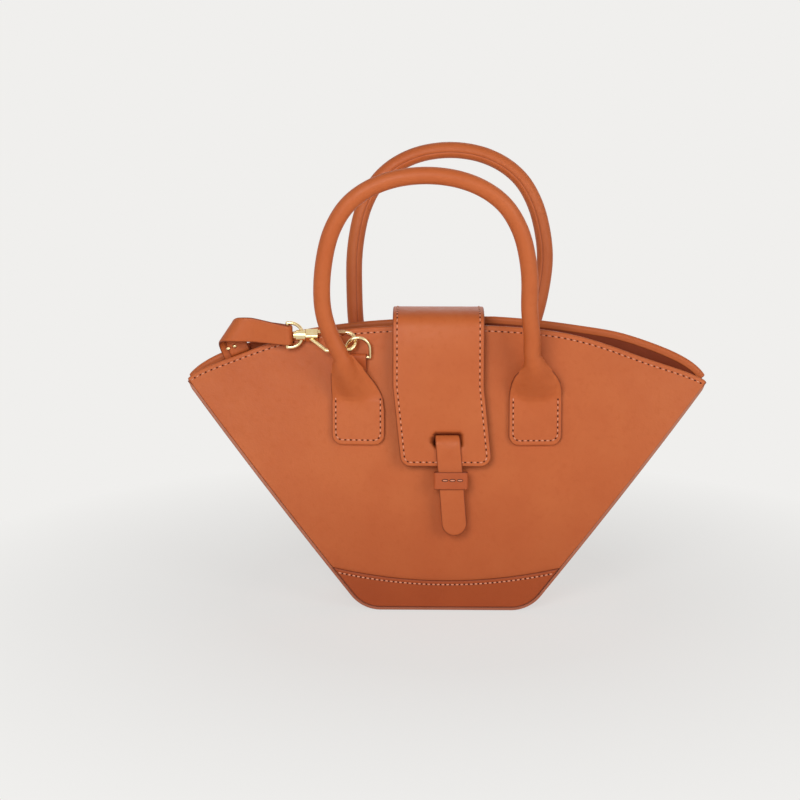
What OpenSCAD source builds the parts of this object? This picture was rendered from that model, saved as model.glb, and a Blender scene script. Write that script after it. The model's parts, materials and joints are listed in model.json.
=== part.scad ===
// Trapeze handbag: two fan-shaped leather panels on a narrow base, closed at the sides by
// tapered gussets and over the mouth by a flap, with two rolled handles and a shoulder strap.
// The front faces -Y, the width runs along X, and the origin is the middle of the base.

/* [Body] */
// Width across the two top corners
top_w = 300; // [280:1:320]
// Width of the base where the straight sides would reach the floor
base_w = 96; // [90:1:104]
// Depth of the base from front to back
base_d = 55; // [54:0.5:60]
// Height of the panels in the middle of the top edge
crest_z = 164; // [160:1:170]
// Fall of the top edge's curve towards the corners
crest_drop = 39.5; // [34:0.5:42]
// Depth over the panels in the middle of the mouth
mouth_d = 27.5; // [26:0.5:32]
// Depth over the panels at the top corners
pinch_d = 10; // [9.5:0.5:12]
// Radius of the two lower corners
corner_r = 22; // [18:1:24]

/* [Leather and lining] */
// Thickness of the panel leather
skin_t = 1.2; // [1:0.1:1.4]
// Thickness of the stiffening board in the panels
board_t = 0.8; // [0.6:0.1:1]
// Thickness of the lining
lining_t = 0.5; // [0.3:0.1:0.6]
// Thickness of the leather facing inside the mouth
facing_t = 1; // [0.8:0.1:1.2]
// Height of the facing inside the mouth
facing_h = 14; // [10:1:18]
// Thickness of the board in the base
base_board_t = 2; // [1.5:0.1:2.2]
// Height of the overlaid base band in the middle
band_mid_h = 18; // [14:1:24]
// Height of the base band at its ends
band_end_h = 25.5; // [22:0.5:30]
// Radius of the piping along the panel edges
welt_r = 1; // [0.8:0.1:1]

/* [Handles] */
// Distance between the centres of a handle's two tabs
tab_span = 100; // [96:1:104]
// Width of a handle tab
tab_w = 30; // [28:0.5:32]
// Thickness of a handle tab
tab_t = 2.2; // [1.8:0.1:2.6]
// Height of a tab's lower edge above the floor
tab_low_z = 96; // [92:1:100]
// Height at which a handle folds over
fold_z = 148; // [147:0.5:150]
// Distance of a handle's fold from the middle plane of the bag
fold_out = 28.5; // [28:0.5:31]
// Radius of the rolled handle
roll_r = 5.4; // [5:0.1:5.6]
// Thickness of the leather round the handle's core
roll_wall = 1.5; // [1.2:0.1:1.8]
// Distance between a handle's legs where they stand widest
handle_w = 114; // [108:1:118]
// Height of the front handle above its fold
front_rise = 101.5; // [96:0.5:108]
// Height of the back handle above its fold
back_rise = 110.5; // [104:0.5:116]
// Sideways set of the front handle
front_skew = -12; // [-13:1:-8]

/* [Flap and tongue] */
// Width of the closing flap
flap_w = 51.5; // [44:0.5:56]
// Height of the flap's lower edge above the floor
flap_low_z = 85; // [84:0.5:87]
// Thickness of the flap's leather
flap_t = 1.2; // [1:0.1:1.4]
// Thickness of the flap's lining
flap_lining_t = 0.8; // [0.6:0.1:1]
// Height of the flap's arch above the panels
flap_arch = 6.8; // [5.5:0.1:8]
// Distance between the front panel and the flap's lining
flap_lift = 4.4; // [4.2:0.1:5.5]
// Width of the tongue
tongue_w = 14.2; // [12:0.1:15]
// Thickness of the tongue
tongue_t = 1.6; // [1.2:0.1:2]
// Height of the tongue's tip above the floor
tongue_low_z = 46; // [40:1:56]
// Height of the slot that the tongue comes out of
slot_z = 102.5; // [101:0.5:106]
// Width of the keeper round the tongue
keeper_w = 19.5; // [18:0.5:22]
// Height of the keeper
keeper_h = 9.8; // [8:0.1:11]
// Diameter of the magnetic snap
snap_d = 13; // [11:0.5:14]

/* [Metal fittings] */
// Radius of the wire of the D rings
ring_wire_r = 0.95; // [0.8:0.05:1]
// Outer width of a D ring
ring_w = 15.3; // [15:0.1:16]
// Height of a D ring's straight sides
ring_side = 5; // [4.8:0.1:5.4]
// Height of a D ring's bar above the floor
ring_z = 145.5; // [145:0.5:147]
// Width of the leather loop that holds a D ring
loop_w = 10; // [8:0.5:11]
// Radius of the snap hook's rods
hook_rod_r = 1.1; // [0.9:0.1:1.2]
// Length of the snap hook from its swivel to its tip
hook_len = 29.5; // [28.5:0.5:30]
// Distance between the centre lines of the hook's two arms
hook_gap = 11.5; // [11:0.1:12]
// Radius of the wire of the strap eyes
eye_wire_r = 1; // [0.8:0.1:1.1]

/* [Shoulder strap] */
// Width of the shoulder strap
strap_w = 14; // [12:0.5:14.5]
// Thickness of the shoulder strap
strap_t = 1.8; // [1.4:0.1:2]
// Radius of the soft diagonal fold at the bag's mouth
strap_fold_r = 6; // [5.5:0.1:6.4]
// Turns of the hank that lies in the bag
hank_turns = 5; // [3:1:5]
// Step from one turn of the hank to the next
hank_pitch = 2.6; // [2.5:0.05:2.7]

/* [Hidden] */

leather = [0.78, 0.41, 0.27];
leather_shade = [0.69, 0.34, 0.2];
lining_colour = [0.36, 0.16, 0.1];
board_colour = [0.72, 0.66, 0.56];
gold = [0.93, 0.79, 0.5];
steel = [0.72, 0.72, 0.74];

layer_gap = 0.1;    // between glued layers
run_gap = 0.3;      // between pieces that move on each other
edge_step = 2.4;    // the panel's edge stands in from the outline by this much
edge_over = 1.5;    // the top edge's ellipse runs on past the corner by this much
lean_power = 1.25;  // shape of the panels' lean towards the mouth
$fn = 32;

// Outline of the panels seen from the front
crest_a = top_w / 2 + edge_over;
corner_z = crest_z - crest_drop * (1 - cos(asin(top_w / 2 / crest_a)));
side_angle = atan2(corner_z, (top_w - base_w) / 2);
flat_x = base_w / 2 - corner_r * tan(side_angle / 2);
lean_mid = (base_d - mouth_d) / 2;
lean_end = (base_d - pinch_d) / 2 / pow(corner_z / crest_z, lean_power);
lean_bow = (lean_end - lean_mid) / pow(top_w / 2, 2);

// Half depth of the bag's outer face at a place seen from the front
function face_y(x, z) = base_d / 2 - pow(max(z, 0) / crest_z, lean_power) * (lean_mid + lean_bow * x * x);

// Slope of that face up the middle of the bag, in degrees
function face_pitch(x, z) = atan((face_y(x, z - 1) - face_y(x, z + 1)) / 2);
function face_yaw(x, z) = atan((face_y(x - 1, z) - face_y(x + 1, z)) / 2);

function arc_len(d) = (corner_r - d) * side_angle * PI / 180;

// Point of the outline, moved in by d, at the distance s along it from the middle of the base
function edge_right(d, s) =
    let (r = corner_r - d, turn = min(side_angle, max(0, (s - flat_x) / r * 180 / PI)))
    let (run = max(0, s - flat_x - arc_len(d)))
    [min(s, flat_x) + r * sin(turn) + run * cos(side_angle), corner_r - r * cos(turn) + run * sin(side_angle)];

function edge_at(d, s) = let (p = edge_right(d, abs(s))) [sign(s) * p[0], p[1]];

// Ellipse angle at which the top edge meets the side, moved in by d
function top_turn(d) =
    let (a = crest_a * sin(side_angle), b = crest_drop * cos(side_angle))
    let (c = base_w / 2 * sin(side_angle) - d + (crest_z - crest_drop) * cos(side_angle))
    atan2(b, a) + asin(c / norm([a, b]));

function top_at(d, u) =
    let (turn = u * top_turn(d))
    [crest_a * sin(turn), crest_z - crest_drop * (1 - cos(turn))];

function top_z(x) = crest_z - crest_drop * (1 - sqrt(1 - pow(x / crest_a, 2)));

// Length of the outline, moved in by d, from the middle of the base to the top corner
function edge_len(d) =
    let (p = edge_right(d, flat_x + arc_len(d)))
    flat_x + arc_len(d) + norm(top_at(d, 1) - p);

// Closed solid between two grids of points; the first grid's rows cross its columns outwards
module grid_solid(outer, inner) {
    n = len(outer) - 1;
    m = len(outer[0]) - 1;
    size = (n + 1) * (m + 1);
    function id(i, j) = i * (m + 1) + j;
    rim = concat(
        [for (i = [0 : n - 1]) id(i, 0)], [for (j = [0 : m - 1]) id(n, j)],
        [for (i = [n : -1 : 1]) id(i, m)], [for (j = [m : -1 : 1]) id(0, j)]);
    cells = [for (i = [0 : n - 1]) for (j = [0 : m - 1]) [id(i, j), id(i + 1, j), id(i + 1, j + 1), id(i, j + 1)]];
    points = concat([for (row = outer) for (p = row) p], [for (row = inner) for (p = row) p]);
    faces = concat(
        [for (c = cells) [c[0], c[3], c[2]]], [for (c = cells) [c[0], c[2], c[1]]],
        [for (c = cells) [c[0] + size, c[2] + size, c[3] + size]],
        [for (c = cells) [c[0] + size, c[1] + size, c[2] + size]],
        [for (k = [0 : len(rim) - 1]) let (a = rim[k], b = rim[(k + 1) % len(rim)]) [a, b, b + size]],
        [for (k = [0 : len(rim) - 1]) let (a = rim[k], b = rim[(k + 1) % len(rim)]) [a, b + size, a + size]]);
    polyhedron(points = points, faces = faces, convexity = 6);
}

// Side faces of a tube whose rings have m points each, starting at point number first
function side_faces(rings, m, first, flip) = [
    for (k = [0 : rings - 2]) for (p = [0 : m - 1]) for (half = [0, 1])
    let (a = first + k * m + p, b = first + k * m + (p + 1) % m, c = b + m, d = a + m)
    let (face = half == 0 ? [a, d, c] : [a, c, b])
    flip ? [face[0], face[2], face[1]] : face];

// Solid tube through rings of points
module loft(rings) {
    m = len(rings[0]);
    n = len(rings);
    last = (n - 1) * m;
    polyhedron(
        points = [for (r = rings) for (p = r) p],
        faces = concat(
            side_faces(n, m, 0, false),
            [for (p = [1 : m - 2]) [0, p, p + 1]],
            [for (p = [1 : m - 2]) [last, last + p + 1, last + p]]),
        convexity = 6);
}

// Hollow tube, open at both ends
module pipe_loft(outer, inner) {
    m = len(outer[0]);
    n = len(outer);
    size = n * m;
    last = (n - 1) * m;
    polyhedron(
        points = concat([for (r = outer) for (p = r) p], [for (r = inner) for (p = r) p]),
        faces = concat(
            side_faces(n, m, 0, false), side_faces(n, m, size, true),
            [for (p = [0 : m - 1]) [p, (p + 1) % m, size + (p + 1) % m]],
            [for (p = [0 : m - 1]) [p, size + (p + 1) % m, size + p]],
            [for (p = [0 : m - 1]) [last + p, last + size + (p + 1) % m, last + (p + 1) % m]],
            [for (p = [0 : m - 1]) [last + p, last + size + p, last + size + (p + 1) % m]]),
        convexity = 8);
}

// Smooth curve through points, with the given steps from one to the next
function curve_point(a, b, c, d, t) =
    0.5 * (2 * b + (c - a) * t + (2 * a - 5 * b + 4 * c - d) * t * t + (3 * b - a - 3 * c + d) * t * t * t);
function curve(pts, steps) = let (last = len(pts) - 1) concat(
    [for (i = [0 : last - 1]) for (s = [0 : steps - 1])
        curve_point(pts[max(i - 1, 0)], pts[i], pts[i + 1], pts[min(i + 2, last)], s / steps)],
    [pts[last]]);

function unit(v) = v / norm(v);

// Leather of even thickness over a grid of points
module sheet(grid, thick) {
    n = len(grid) - 1;
    m = len(grid[0]) - 1;
    normals = [for (i = [0 : n]) [for (j = [0 : m]) unit(cross(
        grid[min(i + 1, n)][j] - grid[max(i - 1, 0)][j], grid[i][min(j + 1, m)] - grid[i][max(j - 1, 0)]))]];
    faces = [for (side = [1, -1])
        [for (i = [0 : n]) [for (j = [0 : m]) grid[i][j] + normals[i][j] * side * thick / 2]]];
    grid_solid(faces[0], faces[1]);
}

// Outline of a band that lies between two distances from a path of [y, z] points
function band(path, near, far) =
    let (last = len(path) - 1)
    let (normals = [for (i = [0 : last]) let (t = unit(path[min(i + 1, last)] - path[max(i - 1, 0)])) [t[1], -t[0]]])
    concat([for (i = [0 : last]) path[i] + normals[i] * far], [for (i = [last : -1 : 0]) path[i] + normals[i] * near]);

// Drawing in [y, z] made into a solid along X
module along_x(from, to) {
    translate([from, 0, 0]) rotate([90, 0, 90]) linear_extrude(to - from) children();
}

// Drawing in [x, z] made into a solid along Y
module along_y(from, to) {
    translate([0, to, 0]) rotate([90, 0, 0]) linear_extrude(to - from) children();
}

// Places children on the front face: local X across, Y up the face and Z out of it
module on_face(x, z, lift, yaw = 0) {
    translate([x, -face_y(x, z), z]) rotate([90 - face_pitch(x, z), 0, yaw]) translate([0, 0, lift]) children();
}

// Children of the front turned round to the back
module turned() {
    rotate([0, 0, 180]) children();
}

// Rod between two points
module rod(a, b, r) {
    d = b - a;
    translate(a) rotate([0, acos(d[2] / norm(d)), atan2(d[1], d[0])]) cylinder(r = r, h = norm(d));
}

// Rectangle about the origin with round corners, at its lower end and its upper end where asked
module rounded(w, h, r, ends = [-1, 1]) {
    square([w, h - 2 * r], center = true);
    for (e = ends) {
        translate([r - w / 2, e > 0 ? h / 2 - r - 0.01 : -h / 2]) square([w - 2 * r, r + 0.01]);
        for (s = [-1, 1]) translate([s * (w / 2 - r), e * (h / 2 - r)]) circle(r = r);
    }
}

// Panels

panel_columns = 36;
panel_rows = 8;

// Point of a panel's layer: u runs across, v up; low and high trim the layer's ends
function panel_point(d, depth, low, high, u, v) =
    let (a = edge_at(d, u * (flat_x + arc_len(d))), b = top_at(d, u), len = norm(b - a))
    let (p = a + (b - a) * (low / len + (1 - (low + high) / len) * v))
    [p[0], -face_y(p[0], p[1]) + depth, p[1]];

module panel_layer(d, depth, thick, low = 0, high = 0) {
    sides = [for (deep = [depth, depth + thick]) [for (i = [0 : panel_columns]) [for (j = [0 : panel_rows])
        panel_point(d, deep, low, high, 2 * i / panel_columns - 1, j / panel_rows)]]];
    grid_solid(sides[0], sides[1]);
}

board_in = skin_t + layer_gap;
lining_in = board_in + board_t + layer_gap;
panel_depth = lining_in + facing_t;

module panel() {
    color(leather) panel_layer(edge_step, 0, skin_t);
}
module stiffener() {
    color(board_colour) panel_layer(edge_step + 1, board_in, board_t, 0.5, 0.5);
}
module panel_lining() {
    color(lining_colour) panel_layer(edge_step + 0.6, lining_in, lining_t, 1.5, facing_h + layer_gap);
}
facing_share = 0.93; // the facing's length as a share of the top edge's
module top_facing() {
    color(leather_shade) {
        sides = [for (deep = [lining_in, panel_depth]) [for (i = [0 : panel_columns]) [for (j = [0, 1])
            let (u = 2 * i / panel_columns - 1, b = top_at(edge_step + 0.6, u * facing_share), drop = facing_h * (1 - j))
            [b[0], -face_y(b[0], b[1] - drop) + deep, b[1] - drop]]]];
        grid_solid(sides[0], sides[1]);
    }
}

// Piping along the edge between a panel and the gussets
welt_in = edge_step / 2;
module welt() {
    steps = 112;
    half = edge_len(welt_in) - welt_r - 1;
    rows = [for (i = [0 : steps]) let (p = edge_at(welt_in, half * (2 * i / steps - 1)))
        [p[0], -face_y(p[0], p[1]) + welt_r, p[1]]];
    color(leather_shade) loft([for (i = [0 : steps])
        let (t = unit(rows[min(i + 1, steps)] - rows[max(i - 1, 0)]), b = unit(cross(t, [0, 1, 0])), n = cross(b, t))
        [for (k = [0 : 5]) rows[i] + welt_r * (cos(60 * k) * n + sin(60 * k) * cross(t, n))]]);
}

// Band laid over the lower part of a panel, lower in the middle than at the ends
module base_band() {
    columns = 32;
    lift = layer_gap;
    end = flat_x + arc_len(edge_step) + (band_end_h - edge_right(edge_step, flat_x + arc_len(edge_step))[1]) / sin(side_angle);
    sides = [for (out = [lift + skin_t, lift]) [for (i = [0 : columns]) [for (j = [0 : 3])
        let (u = 2 * i / columns - 1, a = edge_at(edge_step, u * end), end_x = edge_at(edge_step, end)[0])
        let (b = [u * end_x, band_mid_h + (band_end_h - band_mid_h) * u * u + 0.01], p = a + (b - a) * j / 3)
        [p[0], -face_y(p[0], p[1]) - out, p[1]]]]];
    color(leather) grid_solid(sides[0], sides[1]);
}

// Sides and base

gusset_in = 2 * welt_r + run_gap;

// Strip along one side, from the base's corner to the top, between two distances in from the outline
module side_strip(d, thick, narrow, short) {
    start = flat_x + arc_len(d) + layer_gap;
    length = edge_len(d) - start - short;
    steps = 16;
    half = [for (i = [0 : steps]) let (p = edge_right(d, start + length * i / steps)) face_y(p[0], p[1]) - narrow];
    at = edge_right(d, start);
    translate([at[0], 0, at[1]]) rotate([0, -side_angle, 0]) linear_extrude(thick) polygon(concat(
        [for (i = [0 : steps]) [length * i / steps, half[i]]],
        [for (i = [steps : -1 : 0]) [length * i / steps, -half[i]]]));
}

module side_gusset() {
    color(leather) side_strip(0, skin_t, gusset_in, 2);
}
module gusset_lining() {
    color(lining_colour) side_strip(skin_t + layer_gap, lining_t, panel_depth, facing_h);
}

// Quarter of a rounded corner between two distances in from the outline
module base_corner(d, thick) {
    translate([flat_x, corner_r]) intersection() {
        difference() {
            circle(r = corner_r - d, $fn = 64);
            circle(r = corner_r - d - thick, $fn = 64);
        }
        polygon([[0, 0], [0, -2 * corner_r], [2 * corner_r * sin(side_angle), -2 * corner_r * cos(side_angle)]]);
    }
}

module base_panel() {
    half = face_y(flat_x, corner_r * (1 - cos(side_angle))) - gusset_in;
    color(leather) along_y(-half, half) union() {
        translate([-flat_x, 0]) square([2 * flat_x, skin_t]);
        base_corner(0, skin_t);
        mirror([1, 0]) base_corner(0, skin_t);
    }
}

board_z = skin_t + layer_gap;
floor_z = board_z + base_board_t + layer_gap + lining_t;
base_half = base_d / 2 - panel_depth - layer_gap;
module base_board() {
    color(board_colour) translate([-flat_x, -base_half, board_z]) cube([2 * flat_x, 2 * base_half, base_board_t]);
}
module base_lining() {
    color(lining_colour) translate([-flat_x - 1, -base_half, floor_z - lining_t])
        cube([2 * flat_x + 2, 2 * base_half, lining_t]);
}

// Handles

handle_lean = 6.4;  // outward lean of both handles, in degrees
foot_over = 2.7;    // a handle's foot stands outside its tab's middle by this much
foot_skew = front_skew / 2;
tab_corner = 6;
tab_lift = 0.35;
tab_flat_h = 27;
neck_z = fold_z - roll_r - 0.15;
roll_sides = 10;
end_turns = [78, 50, 24];      // the handle's round ends are cut at these angles below the fold
bore_ends = [[0.5, 5.28], [2.3, 3.3], [3.9, 1.6]];  // radius of the hollow there, and its drop

// Half of the handle's arch from its foot to the apex: share of the half width, share of the rise
arch = [[0.98, 0.12], [1, 0.27], [1, 0.45], [0.945, 0.63], [0.86, 0.75], [0.735, 0.85], [0.54, 0.93], [0.29, 0.982]];

// Centre line of a handle as points in the handle's own plane: x and height over the fold
function handle_line(rise, skew) =
    let (foot = tab_span / 2 + foot_over, half = handle_w / 2)
    let (right = [for (a = arch) [a[0] * half + skew * min(1, 0.5 + a[1] * 2), a[1] * rise]])
    let (left = [for (a = arch) [-a[0] * half + skew * min(1, 0.5 + a[1] * 2), a[1] * rise]])
    concat([[skew / 2 - foot, 0]], left, [[skew, rise]], [for (i = [len(right) - 1 : -1 : 0]) right[i]],
        [[skew / 2 + foot, 0]]);

function lean_point(p) = [p[0], -fold_out - p[1] * sin(handle_lean) / cos(handle_lean), fold_z + p[1]];

// Rings of radius r along a handle; ends holds a radius and a drop below each foot
function handle_rings(rise, skew, r, m, ends) =
    let (line = [for (p = curve(handle_line(rise, skew), 2)) lean_point(p)], last = len(line) - 1)
    let (out = [0, -cos(handle_lean), -sin(handle_lean)], down = [0, sin(handle_lean), -cos(handle_lean)])
    let (ring = function(c, t, radius) let (side = cross(t, out))
        [for (k = [0 : m - 1]) c + radius * (cos(360 * k / m) * out + sin(360 * k / m) * side)])
    concat(
        [for (e = ends) ring(line[0] + down * e[1], -down, e[0])],
        [for (i = [0 : last])
            ring(line[i], i == 0 ? -down : i == last ? down : unit(line[i + 1] - line[i - 1]), r)],
        [for (i = [len(ends) - 1 : -1 : 0]) ring(line[last] + down * ends[i][1], down, ends[i][0])]);

module handle(rise, skew) {
    ends = [for (a = end_turns) [roll_r * cos(a), roll_r * sin(a)]];
    color(leather) pipe_loft(
        handle_rings(rise, skew, roll_r, roll_sides, ends),
        handle_rings(rise, skew, roll_r - roll_wall, roll_sides, bore_ends));
}

module handle_core(rise, skew) {
    core_r = roll_r - roll_wall - 0.3;
    color(board_colour) loft(handle_rings(rise, skew, core_r, 6, [[core_r, 1.2]]));
}

// Leather tab sewn to a panel; side is -1 or 1, and skew is the handle's set at its foot
module handle_tab(side, skew) {
    mid_z = tab_low_z + tab_flat_h / 2;
    x = side * tab_span / 2;
    foot_x = side * (tab_span / 2 + foot_over) + skew;
    color(leather) {
        on_face(x, mid_z, tab_lift, face_yaw(x, mid_z)) linear_extrude(tab_t) tab_outline();
        hull() {
            on_face(x, mid_z, tab_lift, face_yaw(x, mid_z)) translate([-tab_w / 2 + 0.5, tab_flat_h / 2 - 6, 0])
                cube([tab_w - 1, 4, tab_t]);
            translate([foot_x, -fold_out, neck_z - 0.4]) cylinder(r = roll_r, h = 0.4, $fn = 20);
        }
    }
}

module tab_outline() {
    translate([-tab_w / 2, -tab_flat_h / 2 + tab_corner]) square([tab_w, tab_flat_h - tab_corner]);
    rounded(tab_w, tab_flat_h, tab_corner, [-1]);
}

// D rings and the loops that hold them

ring_x = -tab_span / 2;
loop_in = ring_wire_r + 0.2;
loop_t = 1;
loop_lift = 0.45;    // clear of the panel, which curves away under the loop's ends
second_leg = loop_lift + loop_t + layer_gap;
bar_out = loop_lift + loop_t + loop_in;
loop_tail = 14;

module ring_loop() {
    out = bar_out + loop_in;
    color(leather_shade) on_face(ring_x, ring_z, 0) along_x(-loop_w / 2, loop_w / 2) union() {
        translate([-loop_tail, loop_lift]) square([loop_tail, loop_t]);
        intersection() {
            translate([0, bar_out]) difference() {
                circle(r = loop_in + loop_t);
                circle(r = loop_in);
            }
            translate([0, -1]) square([10, 20]);
        }
        polygon([[0, out], [0, out + loop_t], [-7, second_leg + loop_t], [-loop_tail, second_leg + loop_t],
            [-loop_tail, second_leg], [-7.3, second_leg]]);
    }
}

front_ring_lean = 18; // the hook pulls the front ring off the panel by this angle
module d_ring(lean) {
    r = ring_w / 2 - ring_wire_r;
    color(gold) on_face(ring_x, ring_z, bar_out) rotate([lean, 0, 0]) {
        rod([-r, 0, 0], [r, 0, 0], ring_wire_r);
        for (s = [-1, 1]) {
            translate([s * r, 0, 0]) sphere(r = ring_wire_r);
            rod([s * r, 0, 0], [s * r, ring_side, 0], ring_wire_r);
        }
        translate([0, ring_side, 0]) rotate_extrude(angle = 180) translate([r, 0]) circle(r = ring_wire_r);
    }
}

// Flap, its anchor, tongue and keeper

flap_top_x = -4.8;   // the flap hangs to one side at the top
flap_low_x = -0.6;
hinge_y = mouth_d / 2 + 1.7;
hinge_z = crest_z - 0.5;
flap_total = flap_t + flap_lining_t + layer_gap;
flap_corner = 6;

function front_out(z) = -face_y(0, z) - flap_lift;

// Inner face of the flap from the hinge over the mouth and down the front to its lower edge
flap_path = let (half = mouth_d / 2, drop = crest_z - 10 - flap_low_z) curve(concat(
    [[hinge_y - flap_total / 2, hinge_z], [half - 0.4, crest_z + 2.8], [half - 3.6, crest_z + 5.4],
     [4, crest_z + flap_arch], [-4, crest_z + flap_arch], [-half + 3, crest_z + 5.6],
     [-half - 2.2, crest_z + 2.6], [-half - 3.9, crest_z - 2]],
    [for (i = [5 : -1 : 0]) let (z = flap_low_z + drop * i / 5) [front_out(z), z]]), 3);

module flap_outline(grow, corner) {
    w = flap_w / 2 + grow;
    low = flap_low_z - grow;
    mid = flap_low_z + 45;
    top = crest_z + 20;
    polygon([[flap_top_x - w, top], [flap_top_x - w, mid], [flap_low_x - w, low + corner],
        [flap_low_x + w, low + corner], [flap_top_x + w, mid], [flap_top_x + w, top]]);
    translate([flap_low_x - w + corner, low]) square([2 * w - 2 * corner, corner + 0.1]);
    for (s = [-1, 1]) translate([flap_low_x + s * (w - corner), low + corner]) circle(r = corner);
}

slot_h = 9.2;
slot_play = 0.8;
module flap_layer(near, far, grow) {
    difference() {
        intersection() {
            along_x(-60, 60) polygon(band(flap_path, near, far));
            along_y(-100, 100) flap_outline(grow, flap_corner + grow);
        }
        translate([tongue_top_x, 0, slot_z]) along_y(-60, -10)
            translate([-tongue_w / 2 - slot_play, -slot_h]) square([tongue_w + 2 * slot_play, slot_h]);
    }
}

module flap() {
    color(leather) {
        flap_layer(flap_lining_t + layer_gap, flap_total, 0);
        translate([flap_top_x - flap_w / 2, hinge_y, hinge_z]) rotate([0, 90, 0])
            cylinder(r = flap_t / 2 + 0.35, h = flap_w);
    }
}

module flap_lining() {
    color(lining_colour) difference() {
        flap_layer(0, flap_lining_t, -0.8);
        translate([-50, hinge_y, hinge_z]) rotate([0, 90, 0]) cylinder(r = flap_t / 2 + 0.45, h = 100);
    }
}

module flap_anchor() {
    path = [for (i = [0 : 6]) let (z = crest_z - 38 + 35 * i / 6) [face_y(0, z), z]];
    color(leather) intersection() {
        along_x(-60, 60) polygon(band(path, 0.3, 0.3 + flap_t + 0.3));
        along_y(-100, 100) translate([flap_top_x, 0]) union() {
            translate([-flap_w / 2, crest_z - 30]) square([flap_w, 40]);
            translate([-flap_w / 2 + flap_corner, crest_z - 38]) square([flap_w - 2 * flap_corner, 12]);
            for (s = [-1, 1]) translate([s * (flap_w / 2 - flap_corner), crest_z - 31]) circle(r = flap_corner);
        }
    }
}

tongue_top_x = 0.2;
tongue_low_x = 3.3;
tongue_in = -layer_gap - tongue_t;
tongue_out = flap_total + layer_gap;

// Inner face of the tongue from its hidden end down through the slot to its tip
tongue_path = concat(
    [[front_out(slot_z + 5) - tongue_in, slot_z + 5], [front_out(slot_z) - tongue_in, slot_z - slot_play]],
    [for (i = [5 : -1 : 0]) let (z = tongue_low_z + (slot_z - slot_h + slot_play - tongue_low_z) * i / 5)
        [front_out(z) - tongue_out, z]]);

module tongue() {
    shift = (tongue_low_x - tongue_top_x) / (slot_z - tongue_low_z);
    x_at = [tongue_top_x - 8 * shift, tongue_low_x - shift * tongue_w / 2];
    color(leather) intersection() {
        along_x(-60, 60) polygon(band(tongue_path, 0, tongue_t));
        along_y(-100, 100) union() {
            polygon([[x_at[0] - tongue_w / 2, slot_z + 8], [x_at[1] - tongue_w / 2, tongue_low_z + tongue_w / 2],
                [x_at[1] + tongue_w / 2, tongue_low_z + tongue_w / 2], [x_at[0] + tongue_w / 2, slot_z + 8]]);
            translate([x_at[1], tongue_low_z + tongue_w / 2]) circle(r = tongue_w / 2);
        }
    }
}

keeper_mid_z = 77.6;
keeper_t = 1.2;
module tongue_keeper() {
    z = keeper_mid_z;
    out = front_out(z) - tongue_out;
    play = (keeper_w - 2 * keeper_t) / 2;
    x = tongue_top_x + (tongue_low_x - tongue_top_x) * (slot_z - z) / (slot_z - tongue_low_z);
    color(leather_shade) translate([x, out - tongue_t / 2, z]) rotate([-face_pitch(0, z), 0, 0])
        translate([0, 0, -keeper_h / 2]) linear_extrude(keeper_h) difference() {
            square([keeper_w, tongue_t + 2 * run_gap + 2 * keeper_t], center = true);
            square([2 * play, tongue_t + 2 * run_gap], center = true);
        }
}

// Hidden magnetic snap between the flap's lining and the front panel
snap_z = 118;
socket_t = 2.2;
stud_flange_t = 1.4;
stud_pin_r = 2;
module snap_socket() {
    color(steel) on_face(flap_low_x, snap_z, layer_gap) difference() {
        cylinder(d = snap_d, h = socket_t);
        translate([0, 0, socket_t - 1.7]) cylinder(r = stud_pin_r + 1.2, h = 3);
    }
}
module snap_stud() {
    color(steel) on_face(flap_low_x, snap_z, flap_lift - layer_gap - stud_flange_t) {
        cylinder(d = snap_d, h = stud_flange_t);
        translate([0, 0, -1.6]) cylinder(r = stud_pin_r, h = 1.7);
    }
}
module snap_backing() {
    color(steel) on_face(flap_low_x, snap_z, -panel_depth - 0.4) cylinder(d = snap_d + 2, h = 0.6);
}

// Strap eyes, snap hooks and their gates, drawn along X from the swivel's face

hook_at = [-tab_span / 2 - 29.8, -14.6, 158];
hook_tilt = -38;
spare_at = [12.2, 0, 29.7];

boss_r = 3;
boss_len = 5.2;
post_r = 1.2;
post_play = 0.1;
head_r = 2;
head_t = 1.3;
eye_r = 6.9;
eye_mid_x = -8.4;
eye_bar_x = -10.2;

block_len = 6.7;
block_w = 6.2;
block_h = 5.7;
slot_w = 3.8;
arm_z = 1.75;   // middle of the gate over the swivel's axis
pin_at = [4, 1.7];
pin_r = 0.5;
gate_h = 2;
gate_w = 1.9;
gate_mid_y = -0.25;

module front_hook_place() { translate(hook_at) rotate([hook_tilt, 0, 0]) children(); }
module spare_hook_place() { translate(spare_at) children(); }

module eye() {
    color(gold) difference() {
        union() {
            translate([eye_mid_x, 0, 0]) rotate([90, 0, 0]) rotate([0, 0, -90])
                rotate_extrude(angle = 180) translate([eye_r, 0]) circle(r = eye_wire_r);
            for (s = [-1, 1]) {
                rod([eye_mid_x, 0, s * eye_r], [eye_bar_x, 0, s * eye_r], eye_wire_r);
                translate([eye_bar_x, 0, s * eye_r]) sphere(r = eye_wire_r);
            }
            rod([eye_bar_x, 0, -eye_r], [eye_bar_x, 0, eye_r], eye_wire_r);
            rod([-boss_len, 0, 0], [0, 0, 0], boss_r);
        }
        rod([-boss_len - 1, 0, 0], [1, 0, 0], post_r + post_play);
    }
}

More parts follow.
